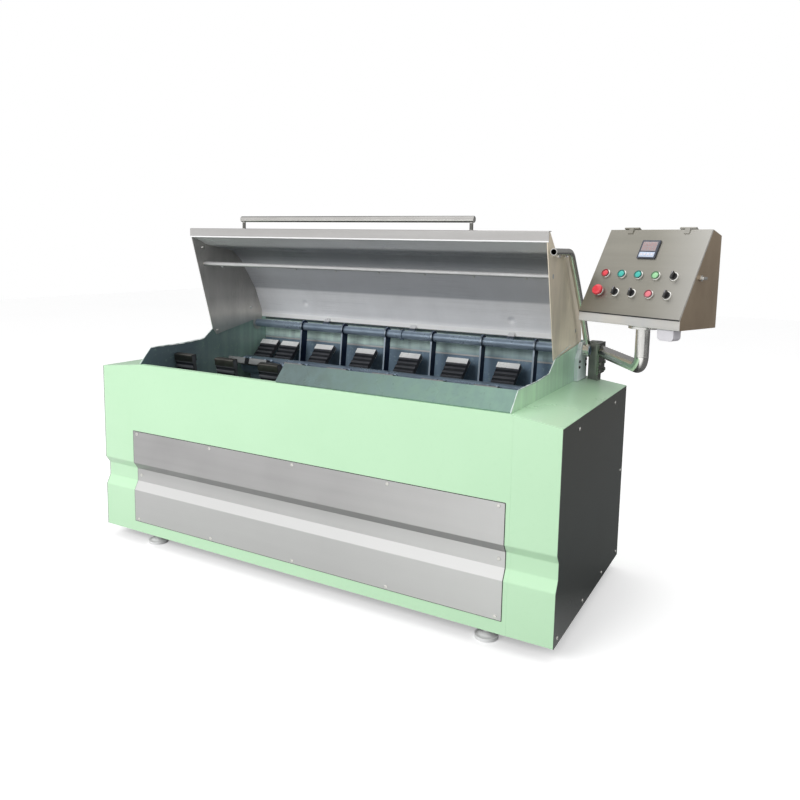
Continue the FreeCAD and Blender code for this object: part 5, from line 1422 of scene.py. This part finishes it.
    def lid_shadow_bead(self) -> Piece:
        """Dark bead along the lid's lower edge, a painted shadow under the lid, drawn along X and laid on the
        door's frame.
        """
        points, faces = rounded_block((self.width - 0.004, 0.0032, 0.0030), 0.0007)
        where = self.place(self.width / 2, 0.0)
        shape = self.set_on((points + np.array([0.0, -0.0008, -0.0012]), faces), where)
        piece = make_piece("lid_shadow_gap_bead", *shape)
        return fitted(piece, "console_door", "shadow_gap_rubber", SLOTS["console_lid"])

    def figure(self, digit: str, middle: tuple[float, float], scale: float) -> list[Shape]:
        """Seven-bar figure of small flat blocks around its middle."""
        bars = {"a": (0.0, 1.0, True), "b": (0.5, 0.5, False), "c": (0.5, -0.5, False),
                "d": (0.0, -1.0, True), "e": (-0.5, -0.5, False), "f": (-0.5, 0.5, False),
                "g": (0.0, 0.0, True)}
        lit = {"0": "abcdef", "5": "afgcd", "6": "afgecd", "8": "abcdefg"}[digit]
        wide, tall, thick = 0.0088 * scale, 0.0056 * scale, 0.0013 * scale
        made = []
        for name in lit:
            u, v, level = bars[name]
            size = (wide - thick, thick, 0.0003) if level else (thick, tall - thick, 0.0003)
            points, faces = rounded_block(size, 0.0001)
            made.append((points + np.array([middle[0] + u * wide, middle[1] + v * tall, 0.0067]), faces))
        return made


@dataclass
class Fasteners:
    """Round-headed screws of the covers and the cap bolts of the hood's end plates."""

    head_radius: float = 0.007
    head_height: float = 0.003
    socket: float = 0.0022

    def head(self, radius: float, height: float) -> Shape:
        """Domed head with a six-sided socket: the socket's rings are drawn in to a hexagon."""
        socket = self.socket * radius / self.head_radius
        profile = [(0.0, 0.45 * height), (socket, 0.45 * height), (socket, 0.97 * height),
                   (socket * 1.25, height), (0.55 * radius, 0.95 * height), (0.8 * radius, 0.72 * height),
                   (0.95 * radius, 0.38 * height), (radius, 0.08 * height), (radius, 0.0), (0.0, 0.0)]
        points, faces = turned_profile(profile, 24)
        angle = np.arctan2(points[:, 1], points[:, 0])
        flat = 1.0 / np.cos((angle + math.pi / 6) % (math.pi / 3) - math.pi / 6)
        near = (np.hypot(points[:, 0], points[:, 1]) < socket * 1.05) & (points[:, 2] > 0.1 * height)
        points[:, :2] *= np.where(near, 0.9 * flat, 1.0)[:, None]
        return points, faces

    def cover_places(self) -> list[tuple[Triple, Triple]]:
        """Places and ways of all cover screws, in the drawing's millimetres from the left front corner."""
        columns = np.linspace(204.0, 1886.0, 5)
        front = [((x, -2.0, z), (0, -1, 0)) for x in columns for z in (115.0, 497.0)]
        front += [((x, 18.0, 308.5), (0, -1, 0)) for x in (columns[0], columns[-1])]
        ends = [(36, 79), (333, 79), (600, 79), (835, 79), (187, 741), (680, 741), (835, 430)]
        sides = [((x, y, z), (way, 0, 0)) for x, way in ((0.0, -1), (2090.0, 1)) for y, z in ends]
        back = [((x, 865.0, z), (0, 1, 0)) for x in np.linspace(27.0, 2063.0, 6) for z in (79.0, 741.0)]
        return front + sides + back

    def hood_places(self) -> list[tuple[Triple, Triple]]:
        """Places and ways of the hood's bolts, inside both end plates."""
        spots = [(469.0, 912.0), (710.0, 1008.0), (380.0, 1307.0)]
        return [((x, y, z), (way, 0, 0)) for y, z in spots for x, way in ((234.0, 1), (1907.0, -1))]

    def build(self) -> list[Piece]:
        """Builds the cover screws, the hood's bolts with their thin outer heads, and the bearings' bolts."""
        head, cap = self.head(self.head_radius, self.head_height), self.head(0.008, 0.005)
        thin, dark = self.head(0.008, 0.0014), self.head(0.0065, 0.005)
        outer = [((1910.0, y, z), (1, 0, 0)) for y, z in ((469.0, 912.0), (710.0, 1008.0))]
        bearing = [((x, y, z), (way, 0, 0)) for x, way in ((1931.0, 1), (210.0, -1)) for y in (716.0, 808.0)
                   for z in (861.0, 884.0)]
        groups = (
            ("cover_screw_heads", "cabinet", "zinc_hardware", "cover_screws",
             [(head, *p) for p in self.cover_places()]),
            ("hood_bolt_heads", "hood", "zinc_hardware", "hood_bolts",
             [(cap, *p) for p in self.hood_places()] + [(thin, *p) for p in outer]),
            ("bearing_bolts", "cabinet", "black_bolts", None, [(dark, *p) for p in bearing]),
        )
        made = []
        for name, body, key, node, heads in groups:
            shape = joined([aimed(drawing, drawn(*place), way) for drawing, place, way in heads])
            nodes = (node,) if node else ()
            made.append(fitted(make_piece(name, *shape), body, key, "zinc_hardware", *nodes))
        return made


@dataclass
class CarriedNodes:
    """CAD nodes that are shown as they are, with a finish: chains, sprockets and the frame's tubes."""

    def build(self) -> list[Piece]:
        """Dresses every CAD node that nothing has replaced."""
        made = []
        for name, node in frame["nodes"].items():
            if not node.hide_render:
                dress(node, SLOTS[name])
                made.append(node)
        return made


@dataclass
class Studio:
    """Pale floor, soft lights and the camera at the photograph's place."""

    sensor: float = 36.0
    pixels: float = 800.0
    heading: float = 28.584
    dip: float = 7.288
    roll: float = 1.129
    focal_pixels: float = 735.73
    centre_x: float = 409.63
    centre_y: float = 340.20
    from_corner: Triple = (2.7278, -2.1746, 1.3303)
    key_power: float = 188.0
    top_power: float = 35.0
    rim_power: float = 18.0
    horizon_light: float = 0.55
    overhead_light: float = 0.75
    back_light: float = 0.26
    floor_reach: float = 14.0
    floor_glow: float = 0.32
    floor_front: Triple = (0.95, 0.95, 0.95)
    floor_behind: Triple = (0.14, 0.14, 0.14)
    floor_bounce: Triple = (0.34, 0.34, 0.35)

    def camera(self, corner: Vector) -> None:
        """Places the camera.

        Args:
            corner: the cabinet's left front corner on the floor.
        """
        yaw, pitch, roll = (math.radians(a) for a in (self.heading, self.dip, self.roll))
        ahead = Vector((-math.sin(yaw) * math.cos(pitch), math.cos(yaw) * math.cos(pitch), -math.sin(pitch)))
        level = Vector((math.cos(yaw), math.sin(yaw), 0.0))
        above = level.cross(ahead)
        right = level * math.cos(roll) + above * math.sin(roll)
        up = above * math.cos(roll) - level * math.sin(roll)
        data = bpy.data.cameras.new("photo_camera")
        data.sensor_width = self.sensor
        data.lens = self.focal_pixels * self.sensor / self.pixels
        data.shift_x = 0.5 - self.centre_x / self.pixels
        data.shift_y = self.centre_y / self.pixels - 0.5
        camera = bpy.data.objects.new("photo_camera", data)
        bpy.context.scene.collection.objects.link(camera)
        turn = Matrix((right, up, -ahead)).transposed()
        camera.matrix_world = Matrix.Translation(corner + Vector(self.from_corner)) @ turn.to_4x4()
        bpy.context.scene.camera = camera

    def floor(self) -> None:
        """A wide pale floor that gives the machine less light than it shows.

        Polished metal mirrors it darker behind the machine and to its right.
        """
        points = np.array([(-1, -1, 0), (1, -1, 0), (1, 1, 0), (-1, 1, 0)]) * self.floor_reach
        piece = make_piece("studio_floor", points, [(0, 1, 2, 3)], smooth=False)
        wires, shader, vector = start_material("studio_floor")
        patches = placed(wires, "blotches", vector, Scale=0.4)
        pale = wires.mixed(patches.outputs["Patches"], (0.93, 0.93, 0.93), (0.91, 0.91, 0.915))
        wires.feed(shader, Base_Color=pale, Roughness=0.9, Emission_Color=(1.0, 1.0, 1.0, 1.0),
                   Emission_Strength=self.floor_glow)
        parts = wires.add("ShaderNodeSeparateXYZ", Vector=vector)
        across = wires.maths("ADD", parts.outputs["X"], parts.outputs["Y"])
        behind = wires.remap(across, 0.2, 1.1, 0.0, 1.0)
        seen = wires.add("ShaderNodeLightPath")
        mirrored = wires.mixed(behind, self.floor_front, self.floor_behind)
        shade = wires.mixed(seen.outputs["Is Diffuse Ray"], mirrored, self.floor_bounce)
        darker = wires.add("ShaderNodeBsdfDiffuse", Color=shade)
        shown = wires.choice(seen.outputs["Is Camera Ray"], darker.outputs["BSDF"], shader.outputs["BSDF"])
        wires.feed(wires.found("ShaderNodeOutputMaterial"), Surface=shown)
        piece.data.materials.append(wires.material)

    def room(self) -> None:
        """Soft room light, brighter overhead and mirrored darker behind; the camera sees plain white."""
        world = bpy.data.worlds.new("pale_room")
        world.use_nodes = True
        world.node_tree.nodes.clear()
        wires = Wires(world.node_tree)
        way = wires.add("ShaderNodeTexCoord")
        parts = wires.add("ShaderNodeSeparateXYZ", Vector=way.outputs["Generated"])
        strengths = (wires.remap(parts.outputs["Y"], -0.25, 0.65, 1.0, self.back_light),
                     wires.between(parts.outputs["Z"], self.horizon_light, self.overhead_light), 1.0)
        white = (1.0, 1.0, 1.0, 1.0)
        shades = [wires.add("ShaderNodeBackground", Color=white, Strength=strength) for strength in strengths]
        mirrored, light, plain = (shade.outputs["Background"] for shade in shades)
        seen = wires.add("ShaderNodeLightPath")
        unseen = wires.choice(seen.outputs["Is Diffuse Ray"], mirrored, light)
        wires.add("ShaderNodeOutputWorld", Surface=wires.choice(seen.outputs["Is Camera Ray"], unseen, plain))
        bpy.context.scene.world = world

    def lamp(self, name: str, place: Triple, target: Triple, size: tuple[float, float], power: float,
             mirrored: bool = True) -> None:
        """A soft rectangular light at a place, turned towards a target, and shown in gloss or not."""
        data = bpy.data.lights.new(name, "AREA")
        data.shape = "RECTANGLE"
        data.size, data.size_y = size
        data.energy = power
        light = bpy.data.objects.new(name, data)
        bpy.context.scene.collection.objects.link(light)
        light.location = place
        light.visible_glossy = mirrored
        light.rotation_euler = (Vector(target) - Vector(place)).to_track_quat("-Z", "Y").to_euler()

    def build(self, corner: Vector) -> None:
        """Sets up the whole studio."""
        self.camera(corner)
        self.floor()
        self.lamp("key_front", (-1.5, -4.9, 3.4), (0.0, 0.0, 0.6), (3.4, 2.4), self.key_power, False)
        self.lamp("top_soft", (0.2, 0.4, 4.4), (0.0, 0.0, 0.6), (4.0, 3.0), self.top_power)
        self.lamp("rim_right", (4.8, 1.4, 2.4), (0.3, 0.0, 0.8), (1.2, 2.2), self.rim_power, False)
        self.room()
        bpy.context.scene.view_settings.view_transform = "Standard"


def main() -> None:
    """Builds and dresses every sub-assembly, sets up the studio and logs the name of each piece."""
    logging.basicConfig(level=logging.INFO, format="%(message)s")
    front_stations = tuple(290.0 + 240.0 * i for i in range(7))
    rear_stations = (310.0, 440.0, 650.0, 890.0, 1130.0, 1370.0, 1610.0)
    makers = (
        MadeParts(),
        HoodSkin(),
        TroughTrim(),
        TubeWork(),
        PaddleDrum("front", "front_roller_spin", -8.0, front_stations, "dull_claw_steel"),
        PaddleDrum("rear", "rear_roller_spin", 47.0, rear_stations),
        ConsoleFace(),
        Fasteners(),
        CarriedNodes(),
    )
    for maker in makers:
        for piece in maker.build():
            log.info("%s: %s", type(maker).__name__, piece.name)
    Studio().build(Vector((CORNER.x, CORNER.y, 0.0)))


if __name__ == "__main__":
    main()
